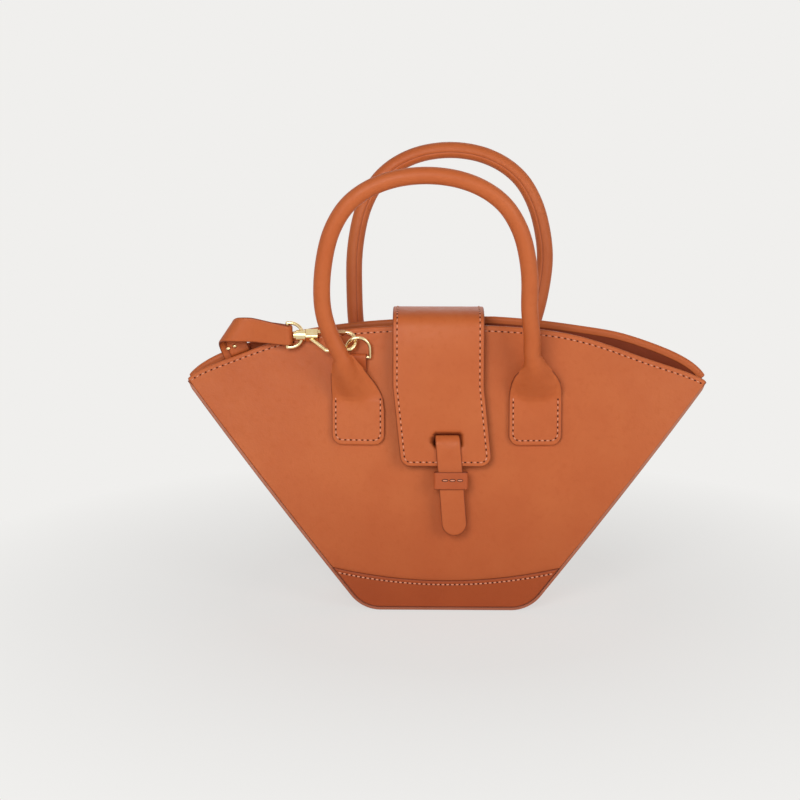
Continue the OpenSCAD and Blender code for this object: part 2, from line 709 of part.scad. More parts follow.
module hook_body() {
    tip_x = hook_len - hook_gap / 2 - hook_rod_r;
    low_z = arm_z - hook_gap;
    bend_x = 12;
    color(gold) difference() {
        union() {
            rod([-boss_len - post_play - head_t, 0, 0], [-boss_len - post_play, 0, 0], head_r);
            rod([-boss_len - post_play - 0.5, 0, 0], [1, 0, 0], post_r);
            translate([run_gap, 0, 0]) rotate([90, 0, 90]) linear_extrude(block_len) rounded(block_w, block_h, 1.2);
            rod([1.2, 0, -0.6], [bend_x, 0, low_z], hook_rod_r);
            translate([bend_x, 0, low_z]) sphere(r = hook_rod_r);
            rod([bend_x, 0, low_z], [tip_x, 0, low_z], hook_rod_r);
            translate([tip_x, 0, (arm_z + low_z) / 2]) rotate([90, 0, 0]) rotate([0, 0, -90])
                rotate_extrude(angle = 180) translate([hook_gap / 2, 0]) circle(r = hook_rod_r);
        }
        translate([2, -slot_w / 2, -1.2]) cube([block_len, slot_w, block_h]);
        translate([pin_at[0], 0, pin_at[1]]) rotate([90, 0, 0]) cylinder(r = pin_r + 0.02, h = 20, center = true);
    }
}

module gate() {
    tip_x = hook_len - hook_gap / 2 - hook_rod_r - run_gap;
    color(gold) difference() {
        union() {
            translate([pin_at[0], gate_mid_y, pin_at[1]]) rotate([90, 0, 0]) cylinder(r = 1.5, h = gate_w, center = true);
            translate([pin_at[0], gate_mid_y - gate_w / 2, arm_z - gate_h / 2])
                cube([tip_x - pin_at[0], gate_w, gate_h]);
        }
        translate([pin_at[0], 0, pin_at[1]]) rotate([90, 0, 0]) cylinder(r = pin_r + 0.05, h = 20, center = true);
    }
}

module gate_pin() {
    color(gold) translate([pin_at[0], 0, pin_at[1]]) rotate([90, 0, 0])
        cylinder(r = pin_r, h = block_w - 0.2, center = true);
}

module gate_spring() {
    color(steel) translate([pin_at[0], 1.75, pin_at[1]]) rotate([90, 0, 0]) difference() {
        cylinder(r = 1.15, h = 0.95);
        translate([0, 0, -1]) cylinder(r = pin_r + 0.12, h = 3);
    }
}

// Shoulder strap: doubled through the front eye, folded over the mouth and coiled up in the bag

bar_at = hook_at + [eye_bar_x, 0, 0];
wrap_r = eye_wire_r + 0.2 + strap_t / 2;
fold_turn = 56;         // angle of the fold's ridge to the strap, in degrees
fold_at = [-116.4, -11.5, 160.5];
level_s = -6;           // from here to the eye the strap sinks and narrows
eye_s = fold_at[0] - bar_at[0];
eye_share = 0.81;
tail_s = 25;
tail_share = 0.84;
fold_end_s = 36;
strap_cols = [-0.5, -1 / 6, 1 / 6, 0.5];

hank_z = 11.5;
hank_a = 40;
hank_b = 21.5;
hank_rows = 22;

function near_eye(s) = max(0, (s - level_s) / (eye_s - level_s));

// Place of the strap at s along it and w across it, turned over a ridge of radius r
function fold_point(s, w, r, y) =
    let (f = [-cos(fold_turn), 0, -sin(fold_turn)], n = [-sin(fold_turn), 0, cos(fold_turn)])
    let (a = s * cos(fold_turn) - w * sin(fold_turn), q = s * sin(fold_turn) + w * cos(fold_turn))
    let (turn = min(180, max(0, q / r * 180 / PI)), over = q < 0 ? q : -max(0, q - PI * r))
    [fold_at[0], y, fold_at[2] + (bar_at[2] - fold_at[2]) * near_eye(s)]
        + a * f + (r * sin(turn) + over) * n + [0, r * (1 - cos(turn)), 0];

function front_y(s) = fold_at[1] + (bar_at[1] - wrap_r - fold_at[1]) * near_eye(s);
function tail_y(s) = max(bar_at[1] + wrap_r, front_y(s) + strap_t + layer_gap);
function fold_row(s, share, r, y) = [for (k = strap_cols) fold_point(s, strap_w * share * k, r, y)];
function key_row(k) = let (side = unit([k[3], k[4], k[5]]))
    [for (c = strap_cols) [k[0], k[1], k[2]] + side * strap_w * c * (len(k) > 6 ? k[6] : 1)];
function coil_point(i) = let (t = i / hank_rows, a = hank_a - hank_pitch * t, b = hank_b - hank_pitch * t)
    [-a * cos(360 * t), b * sin(360 * t), hank_z];

spare_bar = spare_at + [eye_bar_x, 0, 0];
last_coil = [for (i = [0 : hank_turns * hank_rows]) coil_point(i)];

// Keys along the strap's way: x, y, z, the direction of its width and the share of its width
way_down = [
    [-112.4, 0.3, 123, 0.8, 0.5, 0.3], [-105, 0, 106, 0.1, 1, 0], [-92, 0, 84, 0, 1, 0],
    [-76, 0, 62, 0, 1, 0], [-64, -3, 42, 0, 0.8, 0.5], [-54, -8, 26, 0, 0.3, 0.95],
    [-46, -8, 16, 0, 0, 1], [-41.5, -4, 12, 0, 0, 1]];
way_up = [
    [-24, 3.2, 12, 0, 0, 1], [-17, 3.8, 15.5, 0, 0.35, 0.93], [-10, 3, 20.4, 0, 0.85, 0.5],
    [-4, 1, 25.2, 0, 1, 0.1, 0.9]];

module shoulder_strap() {
    fold_end = fold_point(fold_end_s, 0, strap_fold_r, fold_at[1]);
    fold_side = fold_point(fold_end_s, 1, strap_fold_r, fold_at[1]) - fold_end;
    down = curve(concat([concat(fold_end, fold_side)], way_down, [[-hank_a, 0, hank_z, 0, 0, 1]]), 3);
    inner = last_coil[hank_turns * hank_rows];
    up = curve(concat([concat(inner, [0, 0, 1, 1])], [for (k = way_up) concat(k, len(k) > 6 ? [] : [1])],
        [concat(spare_bar - [0, 0, wrap_r], [0, 1, 0, eye_share])]), 3);
    color(leather) sheet(concat(
        [for (i = [0 : 18]) let (s = tail_s + (eye_s - tail_s) * i / 18)
            fold_row(s, min(tail_share, 1 - (1 - eye_share) * near_eye(s)),
                strap_fold_r - strap_t - layer_gap, tail_y(s))],
        [for (t = [60, 30, 0, -30, -60]) key_row(concat(bar_at + wrap_r * [cos(t), sin(t), 0], [0, 0, 1, eye_share]))],
        [for (i = [0 : 24]) let (s = eye_s + (fold_end_s - eye_s) * i / 24)
            fold_row(s, 1 - (1 - eye_share) * near_eye(s), strap_fold_r, front_y(s))],
        [for (i = [1 : len(down) - 1]) key_row(down[i])],
        [for (i = [1 : len(last_coil) - 1]) key_row(concat(last_coil[i], [0, 0, 1]))],
        [for (i = [1 : len(up) - 1]) key_row(up[i])],
        [for (t = [-60, -30, 0, 30, 60, 90])
            key_row(concat(spare_bar + wrap_r * [cos(t), 0, sin(t)], [0, 1, 0, eye_share]))],
        [key_row(concat(spare_bar + [-3.5, 0.3, 0.9], [0, 1, 0, eye_share])),
         key_row(concat(spare_bar + [-7, 0.6, -0.9], [0, 1, 0, eye_share]))]), strap_t);
}

rivet_lift = 0.32;
module strap_rivets() {
    front = fold_at[1] + 2 * strap_fold_r - 1.5 * strap_t - layer_gap;
    back = fold_at[1] + 2 * strap_fold_r + strap_t / 2;
    color(gold) for (w = [-2, 2]) {
        p = fold_point(24, w, strap_fold_r, 0);
        translate([p[0], front - rivet_lift, p[2]]) rotate([90, 0, 0]) rivet_head();
        translate([p[0], back + rivet_lift, p[2]]) rotate([-90, 0, 0]) rivet_head();
    }
}
module rivet_head() {
    intersection() {
        cylinder(r = 1.1, h = 1);
        translate([0, 0, -1.1]) sphere(r = 1.6);
    }
}

panel();  // front_panel
turned() panel();  // back_panel
stiffener();  // front_stiffener
turned() stiffener();  // back_stiffener
panel_lining();  // front_lining
turned() panel_lining();  // back_lining
top_facing();  // front_top_facing
turned() top_facing();  // back_top_facing
turned() side_gusset();  // side_gusset_left
side_gusset();  // side_gusset_right
turned() gusset_lining();  // gusset_lining_left
gusset_lining();  // gusset_lining_right
base_panel();
base_board();
base_lining();
base_band();  // front_base_band
turned() base_band();  // back_base_band
welt();  // front_welt
turned() welt();  // back_welt
handle_tab(-1, foot_skew);  // front_handle_tab_left
handle_tab(1, foot_skew);  // front_handle_tab_right
turned() handle_tab(1, 0);  // back_handle_tab_left
turned() handle_tab(-1, 0);  // back_handle_tab_right
handle(front_rise, front_skew);  // front_handle
handle_core(front_rise, front_skew);  // front_handle_core
turned() handle(back_rise, 0);  // back_handle
turned() handle_core(back_rise, 0);  // back_handle_core
ring_loop();  // front_ring_loop
turned() ring_loop();  // back_ring_loop
d_ring(front_ring_lean);  // front_d_ring
turned() d_ring(0);  // back_d_ring
flap_anchor();
flap();
flap_lining();
tongue();
tongue_keeper();
snap_stud();
snap_socket();
snap_backing();
translate(hook_at) eye();  // strap_eye
front_hook_place() hook_body();
front_hook_place() gate();  // hook_gate
front_hook_place() gate_pin();  // hook_gate_pin
front_hook_place() gate_spring();  // hook_gate_spring
shoulder_strap();
strap_rivets();
translate(spare_at) rotate([90, 0, 0]) eye();  // spare_eye
spare_hook_place() hook_body();  // spare_hook_body
spare_hook_place() gate();  // spare_hook_gate
spare_hook_place() gate_pin();  // spare_gate_pin
spare_hook_place() gate_spring();  // spare_gate_spring
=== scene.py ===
import json
import math

import bpy
import numpy as np
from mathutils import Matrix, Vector
from mathutils.geometry import delaunay_2d_cdt


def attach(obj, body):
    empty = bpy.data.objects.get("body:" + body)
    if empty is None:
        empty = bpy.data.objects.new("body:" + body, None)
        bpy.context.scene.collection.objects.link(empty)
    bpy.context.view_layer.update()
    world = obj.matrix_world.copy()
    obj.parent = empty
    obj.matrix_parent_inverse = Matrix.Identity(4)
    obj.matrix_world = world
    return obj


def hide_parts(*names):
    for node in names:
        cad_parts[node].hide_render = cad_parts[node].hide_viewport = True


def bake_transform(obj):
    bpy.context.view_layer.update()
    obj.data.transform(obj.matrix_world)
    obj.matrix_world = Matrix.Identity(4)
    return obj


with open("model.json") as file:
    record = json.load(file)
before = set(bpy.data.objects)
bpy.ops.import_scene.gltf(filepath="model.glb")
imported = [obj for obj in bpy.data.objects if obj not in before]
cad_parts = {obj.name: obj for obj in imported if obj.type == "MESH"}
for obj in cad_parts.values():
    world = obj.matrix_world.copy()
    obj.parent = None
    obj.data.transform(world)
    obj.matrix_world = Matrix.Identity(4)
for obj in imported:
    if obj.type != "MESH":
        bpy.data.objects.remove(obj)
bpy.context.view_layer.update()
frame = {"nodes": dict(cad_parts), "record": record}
nodes = frame["nodes"]

MM = 0.001  # shapes are worked out in millimetres in the part's frame, and meshes are in metres

# Body of the bag, as in the part
TOP_W, BASE_W, BASE_D = 300, 96, 55
CREST_Z, CREST_DROP, CREST_A = 164, 39.5, 151.5
MOUTH_D, PINCH_D, CORNER_R = 27.5, 10, 22
LEAN_POWER = 1.25
EDGE_IN = 2.4          # the panel's edge stands in from the outline
SKIN, PANEL_DEPTH = 1.2, 3.2    # the leather, and the whole panel
LINING_IN, LINING_T, FACING_T, FACING_H = 2.2, 0.5, 1.0, 14
BAND_MID_Z, BAND_END_Z = 18, 25.5
FLOOR_Z = 3.8

# Handles and their tabs
FOLD_Z, FOLD_OUT, LEAN = 148, 28.5, math.radians(6.4)
ROLL_R = 4.7           # the roll is this thin in the photograph, and 5.4 in the part
# an arch's rise, sideways lean and half width, and how far its left leg is tucked in
FRONT_ARCH, BACK_ARCH = (101.5, -12, 57, 0), (110.5, -2, 56, 6.5)
TAB_SPAN, TAB_W, TAB_LOW_Z, FOOT_OVER = 100, 30, 96, 2.7

# Flap and tongue
FLAP_W, FLAP_LOW_Z, FLAP_LIFT, FLAP_ARCH = 51.5, 85, 4.4, 5.5
FLAP_TOP_X, FLAP_LOW_X, FLAP_T, FLAP_CORNER = -4.8, -0.6, 2.1, 6
HINGE_Y, HINGE_Z = 15.45, 163.5
SLOT_Z, SLOT_H, SLOT_X, TONGUE_W, TONGUE_T, TONGUE_LOW_Z = 102.9, 5.4, 0.3, 14.2, 1.6, 46
KEEPER_Z, KEEPER_W, KEEPER_H, KEEPER_T = 77.6, 19.5, 9.8, 1.2

corner_z = CREST_Z - CREST_DROP * (1 - math.cos(math.asin(TOP_W / 2 / CREST_A)))
side_angle = math.atan2(corner_z, (TOP_W - BASE_W) / 2)
flat_x = BASE_W / 2 - CORNER_R * math.tan(side_angle / 2)
lean_mid = (BASE_D - MOUTH_D) / 2
lean_end = (BASE_D - PINCH_D) / 2 / (corner_z / CREST_Z) ** LEAN_POWER
lean_bow = (lean_end - lean_mid) / (TOP_W / 2) ** 2


# Outline and faces of the bag

def face_y(x, z):
    """Half depth of the bag's outer face at a place seen from the front."""
    return BASE_D / 2 - (np.maximum(z, 0) / CREST_Z) ** LEAN_POWER * (lean_mid + lean_bow * x * x)


def face_normal(x, z):
    """Outward direction of the front face."""
    slope_x = (face_y(x + 1, z) - face_y(x - 1, z)) / 2
    slope_z = (face_y(x, z + 1) - face_y(x, z - 1)) / 2
    n = np.stack([-slope_x, -np.ones_like(slope_x), -slope_z], -1)
    return n / np.linalg.norm(n, axis=-1, keepdims=True)


def top_z(x):
    """Height of the arc of the mouth."""
    return CREST_Z - CREST_DROP * (1 - np.sqrt(np.maximum(1 - (x / CREST_A) ** 2, 0)))


def edge_right(d, s):
    """Places on the right half of the outline, moved in by d, at the distance s from the base's middle."""
    r = CORNER_R - d
    turn = np.clip((s - flat_x) / r, 0, side_angle)
    run = np.maximum(0, s - flat_x - r * side_angle)
    return np.stack([
        np.minimum(s, flat_x) + r * np.sin(turn) + run * math.cos(side_angle),
        CORNER_R - r * np.cos(turn) + run * math.sin(side_angle)], -1)


def side_length(d):
    """Length of that half outline up to the top edge, found by halving."""
    low, high = 100.0, 260.0
    for _ in range(40):
        mid = (low + high) / 2
        x, z = edge_right(d, np.array(mid))
        low, high = (mid, high) if x < CREST_A and z < top_z(x) else (low, mid)
    return low


def on_front(x, z, out):
    """Places on the front face, raised by out along its normal."""
    x, z, out = np.broadcast_arrays(*(np.asarray(a, float) for a in (x, z, out)))
    return np.stack([x, -face_y(x, z), z], -1) + face_normal(x, z) * out[..., None]


# Meshes

# the darker tone of cut edges is partly edge paint and partly painted shade along edges and seam grooves
EDGE_PAINT_AND_SHADE_REACH = 0.7        # how far in the darker tone of a cut edge reaches


def unit(v):
    return v / np.maximum(np.linalg.norm(v, axis=-1, keepdims=True), 1e-9)


def join(*axes):
    """Points from arrays of their coordinates."""
    return np.stack(axes, -1)


def split(points):
    """The arrays of their coordinates back again."""
    return np.moveaxis(points, -1, 0)


def distances(points):
    """Distance along a line at each of its points."""
    return np.concatenate([[0], np.cumsum(np.linalg.norm(np.diff(points, axis=0), axis=1))])


def full_turn(count):
    return np.linspace(0, 2 * math.pi, count, endpoint=False)


def show(name, data):
    """A new object in the scene."""
    shown = bpy.data.objects.new(name, data)
    bpy.context.scene.collection.objects.link(shown)
    return shown


def new_piece(name, points, faces, material, edge=None, coords=None):
    """A mesh piece from points in millimetres, with its darker edge tone, partly edge paint and partly
    painted shade, and its flat pattern's coordinates.
    """
    mesh = bpy.data.meshes.new(name)
    mesh.from_pydata((np.asarray(points) * MM).tolist(), [], [list(map(int, f)) for f in faces])
    mesh.polygons.foreach_set("use_smooth", [True] * len(mesh.polygons))
    edge_paint_and_shade = mesh.attributes.new("edge", "FLOAT", "POINT")
    edge_paint_and_shade.data.foreach_set("value", np.zeros(len(points)) if edge is None else np.asarray(edge, float))
    if coords is not None:
        corner = np.zeros(len(mesh.loops), int)
        mesh.loops.foreach_get("vertex_index", corner)
        layer = mesh.uv_layers.new(name="pattern")
        layer.data.foreach_set("uv", (np.asarray(coords) * MM)[corner].ravel())
    mesh.update()
    mesh.materials.append(material)
    return show(name, mesh)


def two_sided(name, flat, depth, faces, place, thick, material):
    """A sheet with round edges: flat is its pattern, depth is each point's distance from the edge,
    and place(flat, out) puts points in space, out from the middle of the thickness."""
    share = np.clip(depth / (thick / 2 * 1.2), 0, 1)
    half = thick / 2 * np.sqrt(np.maximum(1 - (1 - share) ** 2, 0))
    inner = np.where(depth > 1e-6)[0]
    inner_id = np.arange(len(flat))
    inner_id[inner] = len(flat) + np.arange(len(inner))
    points = np.concatenate([place(flat, half), place(flat, -half)[inner]])
    both = [tuple(f) for f in faces] + [tuple(inner_id[i] for i in reversed(f)) for f in faces]
    edge = np.exp(-depth / EDGE_PAINT_AND_SHADE_REACH)
    return new_piece(name, points, both, material,
                     np.concatenate([edge, edge[inner]]), np.concatenate([flat, flat[inner]]))


def loop_normals(loop):
    """Directions into a closed loop that runs anticlockwise."""
    t = unit(np.roll(loop, -1, 0) - np.roll(loop, 1, 0))
    return np.stack([-t[:, 1], t[:, 0]], -1)


def distance_to(points, loops):
    """Distance from each point to the nearest of several closed loops."""
    best = np.full(len(points), 1e9)
    for loop in loops:
        a, b = loop, np.roll(loop, -1, 0)
        ab = b - a
        for start in range(0, len(points), 4000):
            p = points[start:start + 4000, None, :] - a[None]
            t = np.clip((p * ab).sum(-1) / np.maximum((ab ** 2).sum(-1), 1e-12), 0, 1)
            gap = np.linalg.norm(p - t[..., None] * ab, axis=-1).min(1)
            best[start:start + 4000] = np.minimum(best[start:start + 4000], gap)
    return best


def inside(points, loops):
    """Whether each point lies inside the loops, holes left out."""
    odd = np.zeros(len(points), bool)
    for loop in loops:
        for a, b in zip(loop, np.roll(loop, -1, 0)):
            if a[1] != b[1]:
                crosses = (a[1] > points[:, 1]) != (b[1] > points[:, 1])
                at = a[0] + (points[:, 1] - a[1]) * (b[0] - a[0]) / (b[1] - a[1])
                odd ^= crosses & (points[:, 0] < at)
    return odd


CUT_RINGS, CUT_GRID = (0.12, 0.4, 0.9, 1.8), 2.5  # points along a cut edge, and between those rings


def cut_leather(name, loops, place, thick, material):
    """A sheet cut to closed loops: its outline, which runs anticlockwise, and its holes."""
    rows = list(loops)
    for inset in CUT_RINGS:
        for loop in loops:
            ring = loop + loop_normals(loop) * inset
            rows.append(ring[distance_to(ring, loops) > inset * 0.93])
    xs, ys = (np.arange(low + CUT_GRID / 2, high, CUT_GRID)
              for low, high in zip(loops[0].min(0), loops[0].max(0)))
    field = join(*np.meshgrid(xs, ys, indexing="ij")).reshape(-1, 2)
    field = field[inside(field, loops)]
    rows.append(field[distance_to(field, loops) > CUT_RINGS[-1] + CUT_GRID * 0.45])
    points = np.concatenate(rows)
    edges, start = [], 0
    for loop in loops:
        n = len(loop)
        edges += [(start + i, start + (i + 1) % n) for i in range(n)]
        start += n
    found = delaunay_2d_cdt([Vector(p) for p in points], edges, [], 0, 1e-6)
    flat = np.array([tuple(v) for v in found[0]])
    faces = [tuple(f) for f in found[2]]
    middle = np.array([flat[list(f)].mean(0) for f in faces])
    faces = [f for f, keep in zip(faces, inside(middle, loops)) if keep]
    depth = distance_to(flat, loops)
    depth[depth < 1e-4] = 0
    return two_sided(name, flat, depth, faces, place, thick, material)


def grid_faces(rows, columns, wrap=False):
    """Faces between rows of points; with wrap, each row is a ring."""
    last = columns if wrap else columns - 1
    return [(i * columns + j, (i + 1) * columns + j, (i + 1) * columns + (j + 1) % columns,
             i * columns + (j + 1) % columns) for i in range(rows - 1) for j in range(last)]


def lathe_along(name, rings, material, edge=None, coords=None):
    """A closed skin over rings of points."""
    rows, columns = len(rings), len(rings[0])
    faces = grid_faces(rows, columns, wrap=True)
    faces += [tuple(range(columns)), tuple(reversed(range((rows - 1) * columns, rows * columns)))]
    return new_piece(name, np.concatenate(rings), faces, material, edge, coords)


def rounded_box(left, right, low, high, r, step):
    """Closed outline of a box with round corners, as evenly spaced points."""
    parts = max(2, int(math.pi / 2 * r / step) + 1)
    left, right, low, high = left + r, right - r, low + r, high - r
    path = []
    for i, middle in enumerate(((left, low), (right, low), (right, high), (left, high))):
        turn = math.pi / 2 * (i + 2) + np.linspace(0, math.pi / 2, parts + 1)
        path.append(middle + r * join(np.cos(turn), np.sin(turn)))
    return fill_loop(np.concatenate(path), step)


def fill_loop(loop, step):
    """The same loop with long sides cut into steps."""
    points = []
    for a, b in zip(loop, np.roll(loop, -1, 0)):
        n = max(1, int(round(np.linalg.norm(b - a) / step)))
        points += [a + (b - a) * k / n for k in range(n)]
    return np.array(points)


def smooth_curve(keys, steps):
    """Catmull-Rom curve through keys, as in the part, with that many steps from key to key."""
    keys = np.asarray(keys, float)
    last = len(keys) - 1
    points = []
    for i in range(last):
        a, b, c, d = keys[max(i - 1, 0)], keys[i], keys[i + 1], keys[min(i + 2, last)]
        for k in range(steps):
            t = k / steps
            points.append(0.5 * (2 * b + (c - a) * t + (2 * a - 5 * b + 4 * c - d) * t * t
                                 + (3 * b - 3 * c + d - a) * t ** 3))
    return np.array(points + [keys[-1]])


def turn_round(piece):
    """Turns a piece half round the bag's upright axis, in its mesh."""
    for v in piece.data.vertices:
        v.co.x, v.co.y = -v.co.x, -v.co.y
    piece.data.update()
    return piece


# Materials

def linear(colour):
    """An sRGB hex colour in linear light."""
    parts = [int(colour[i:i + 2], 16) / 255 for i in (1, 3, 5)]
    return [p / 12.92 if p <= 0.04045 else ((p + 0.055) / 1.055) ** 2.4 for p in parts] + [1]


def add(tree, kind, inputs=None, **settings):
    """Adds a node with its settings; an input is a value, an output, or a node for its first output."""
    node = tree.nodes.new(kind)
    for key, value in settings.items():
        setattr(node, key, value)
    for key, value in (inputs or {}).items():
        if isinstance(value, bpy.types.Node):
            value = next(output for output in value.outputs if output.enabled)
        if isinstance(value, bpy.types.NodeSocket):
            tree.links.new(value, node.inputs[key])
        else:
            node.inputs[key].default_value = value
    return node


def shader_tree(name):
    """A new material with an empty tree, and the place on the surface that its patterns follow."""
    material = bpy.data.materials.new(name)
    material.use_nodes = True
    tree = material.node_tree
    tree.nodes.clear()
    return material, tree, add(tree, "ShaderNodeTexCoord").outputs["Object"]


def coat(material, tree, inputs):
    """Gives a material its one shader."""
    add(tree, "ShaderNodeOutputMaterial", {"Surface": add(tree, "ShaderNodeBsdfPrincipled", inputs)})
    return material


def noise(tree, place, size_mm, detail=3, roughness=0.55):
    """Cloudy pattern whose lumps are about that many millimetres across."""
    return add(tree, "ShaderNodeTexNoise", {
        "Vector": place, "Scale": 1000 / size_mm, "Detail": detail, "Roughness": roughness})


def reckon(tree, operation, a, b):
    return add(tree, "ShaderNodeMath", {0: a, 1: b}, operation=operation)


def mix(tree, share, a, b):
    return add(tree, "ShaderNodeMix", {0: share, 6: a, 7: b}, data_type="RGBA")


def spread(tree, value, low, high, to_low=0, to_high=1):
    """A value in one range as a value in another."""
    return add(tree, "ShaderNodeMapRange", {
        "Value": value, "From Min": low, "From Max": high, "To Min": to_low, "To Max": to_high})


def smooth_leather(name, mid, light, dark, edge, rough=0.5):
    """Smooth drum-dyed calf: an even tan with soft clouds, fine pores and a darker edge, partly edge paint
    and partly painted shade along edges and grooves; it is darker towards the base as painted shade."""
    material, tree, place = shader_tree(name)
    clouds, flecks = noise(tree, place, 34, 4), noise(tree, place, 3.2, 2)
    colour = mix(tree, spread(tree, clouds, 0.36, 0.64), linear(dark), linear(light))
    colour = mix(tree, 0.7, colour, linear(mid))
    colour = mix(tree, spread(tree, flecks, 0.56, 0.72, 0, 0.22), colour, linear(dark))
    height = add(tree, "ShaderNodeSeparateXYZ", {"Vector": place}).outputs["Z"]
    # painted shade: the leather turns darker and deeper in colour below about 8 cm
    colour = mix(tree, spread(tree, height, 0.015, 0.08, 0.4, 0), colour, linear("#9C3F12"))
    # darker cut edges: partly edge paint, partly painted shade along edges and grooves
    edge_paint_and_shade = add(tree, "ShaderNodeAttribute", attribute_name="edge").outputs["Fac"]
    colour = mix(tree, spread(tree, edge_paint_and_shade, 0.3, 0.95, 0, 0.9), colour, linear(edge))
    # pores half a millimetre wide would vanish at this distance, so they are drawn at 1.3 mm
    pores = noise(tree, place, 1.3, 2, 0.6)
    bump = add(tree, "ShaderNodeBump", {"Height": pores, "Strength": 0.16, "Distance": 0.0005})
    swell = add(tree, "ShaderNodeBump", {"Height": noise(tree, place, 9, 2), "Strength": 0.10,
                                         "Distance": 0.001, "Normal": bump})
    return coat(material, tree, {
        "Base Color": colour, "Roughness": spread(tree, flecks, 0.3, 0.7, rough - 0.05, rough + 0.06),
        "IOR": 1.4, "Normal": swell})


def woven_lining(name, warp, weft):
    """Dark wine-brown twill: its diagonal ribs break up the shade inside the bag."""
    material, tree, place = shader_tree(name)
    turned = add(tree, "ShaderNodeMapping", {"Vector": place, "Rotation": (0, math.radians(45), 0)})
    # a twill rib is about 0.6 mm wide, drawn at 1.2 mm so that it shows
    ribs = add(tree, "ShaderNodeTexWave", {"Vector": turned, "Scale": 1000 / 1.2 / 20, "Distortion": 0.4},
               wave_type="BANDS", bands_direction="X").outputs["Fac"]
    colour = mix(tree, ribs, linear(weft), linear(warp))
    colour = mix(tree, spread(tree, noise(tree, place, 12), 0.3, 0.7, 0, 0.3), colour, linear(weft))
    bump = add(tree, "ShaderNodeBump", {"Height": ribs, "Strength": 0.3, "Distance": 0.0003})
    return coat(material, tree, {
        "Base Color": colour, "Roughness": 0.85, "Sheen Weight": 0.15, "Normal": bump})


def polished_metal(name, colour, tint, rough):
    """Plated and polished die casting: near-mirror, with faint clouds in its polish."""
    material, tree, place = shader_tree(name)
    polish = noise(tree, place, 2.5)
    base = mix(tree, spread(tree, polish, 0.35, 0.65), linear(colour), linear(tint))
    return coat(material, tree, {
        "Base Color": base, "Metallic": 1,
        "Roughness": spread(tree, polish, 0.3, 0.7, rough, rough + 0.08)})


def dull_fibre(name, light, dark, size, rough=0.9):
    """Matt fibres pressed or twisted together: speckled, with a rough, dry surface."""
    material, tree, place = shader_tree(name)
    fibres = noise(tree, place, size, 4, 0.7)
    bump = add(tree, "ShaderNodeBump", {"Height": fibres, "Strength": 0.4, "Distance": 0.0003})
    colour = mix(tree, spread(tree, fibres, 0.35, 0.65), linear(dark), linear(light))
    return coat(material, tree, {"Base Color": colour, "Roughness": rough, "Normal": bump})


calf = smooth_leather("tan_calf_leather", "#CA6631", "#D1723C", "#BD5A28", "#70290F")
# the keeper and the ring holders are the same calf a little darker: painted shade
painted_shade_strip_calf = smooth_leather("strip_leather_painted_shade", "#BE5A2A", "#C66434", "#AE4F22", "#70290F")
# the base band is the same calf made darker: painted shade low on the bag
painted_shade_band_calf = smooth_leather("base_band_leather_painted_shade", "#AC4C1A", "#B65824", "#9C4212", "#5E200A")
# the mouth facing is the same calf darkened: painted shade inside the mouth
shaded_calf = smooth_leather("facing_leather_painted_shade", "#8A3A1C", "#964424", "#7A3016", "#52190A", 0.6)
painted_edge = smooth_leather("edge_painted_seam_leather", "#B9755A", "#C08064", "#A66448", "#B9755A", 0.55)
lining = woven_lining("wine_brown_twill_lining", "#5A2418", "#46180F")
gold = polished_metal("pale_gold_plated_zinc", "#F1DCAE", "#E8CE98", 0.14)
steel = polished_metal("nickel_plated_steel", "#C9C9CC", "#B9B9BE", 0.25)
board = dull_fibre("pressed_fibre_board", "#C2B396", "#A5977C", 1.5)
cotton = dull_fibre("twisted_cotton_cord", "#D9CFBA", "#B5A88F", 0.8)
thread = dull_fibre("waxed_thread", "#EFA988", "#DC8A62", 0.6, 0.6)
# the pricked holes between stitches are dark grains: painted shade in the holes
painted_shade_hole = dull_fibre("stitch_hole_painted_shade", "#5A1C0A", "#420F05", 0.8)


# Sheets on grids

def soften(rows, reach=5):
    """Rows averaged with their neighbours, so that a crease becomes a soft bend; both ends stay."""
    rows = np.array(rows)
    for _ in range(reach):
        rows[1:-1] = (rows[:-2] + 2 * rows[1:-1] + rows[2:]) / 4
    return rows


EDGE_RINGS = (0, 0.1, 0.3, 0.6, 1.0, 1.7, 2.8)  # places near an edge where a sheet's rounding is drawn


def edge_spacing(length, step, end=True):
    """Places along a length, close together at its cut edges; without end, its far edge isn't cut."""
    low, high = EDGE_RINGS, EDGE_RINGS if end else (0,)
    count = max(2, int((length - low[-1] - high[-1]) / step) + 1)
    middle = np.linspace(low[-1], length - high[-1], count + 1)
    return np.concatenate([low[:-1], middle, length - np.array(high[-2::-1]) if end else []])


def grid_normals(mid):
    return unit(np.cross(np.gradient(mid, axis=0), np.gradient(mid, axis=1)))


def run_lengths(mid, axis):
    """Distance along a grid's lines of points, at each point."""
    gap = np.linalg.norm(np.diff(mid, axis=axis), axis=-1)
    return np.concatenate([np.zeros_like(np.take(gap, [0], axis)), np.cumsum(gap, axis)], axis)


def grid_sheet(name, mid, thick, material, normals=None):
    """A sheet of even thickness over a grid of points, with round edges on its four sides."""
    normals = grid_normals(mid) if normals is None else normals
    along, across = run_lengths(mid, 0), run_lengths(mid, 1)
    depth = np.minimum(np.minimum(along, along[-1:] - along), np.minimum(across, across[:, -1:] - across))
    m, n = mid.reshape(-1, 3), normals.reshape(-1, 3)
    return two_sided(name, join(along, across).reshape(-1, 2), depth.reshape(-1), grid_faces(*along.shape),
                     lambda _, out: m + n * out[:, None], thick, material)


# Panels, linings and the trims on them

def top_turn(d):
    """Turn along the top arc at which it meets the side, both moved in by d."""
    a, b = CREST_A * math.sin(side_angle), CREST_DROP * math.cos(side_angle)
    c = BASE_W / 2 * math.sin(side_angle) - d + (CREST_Z - CREST_DROP) * math.cos(side_angle)
    return math.atan2(b, a) + math.asin(c / math.hypot(a, b))


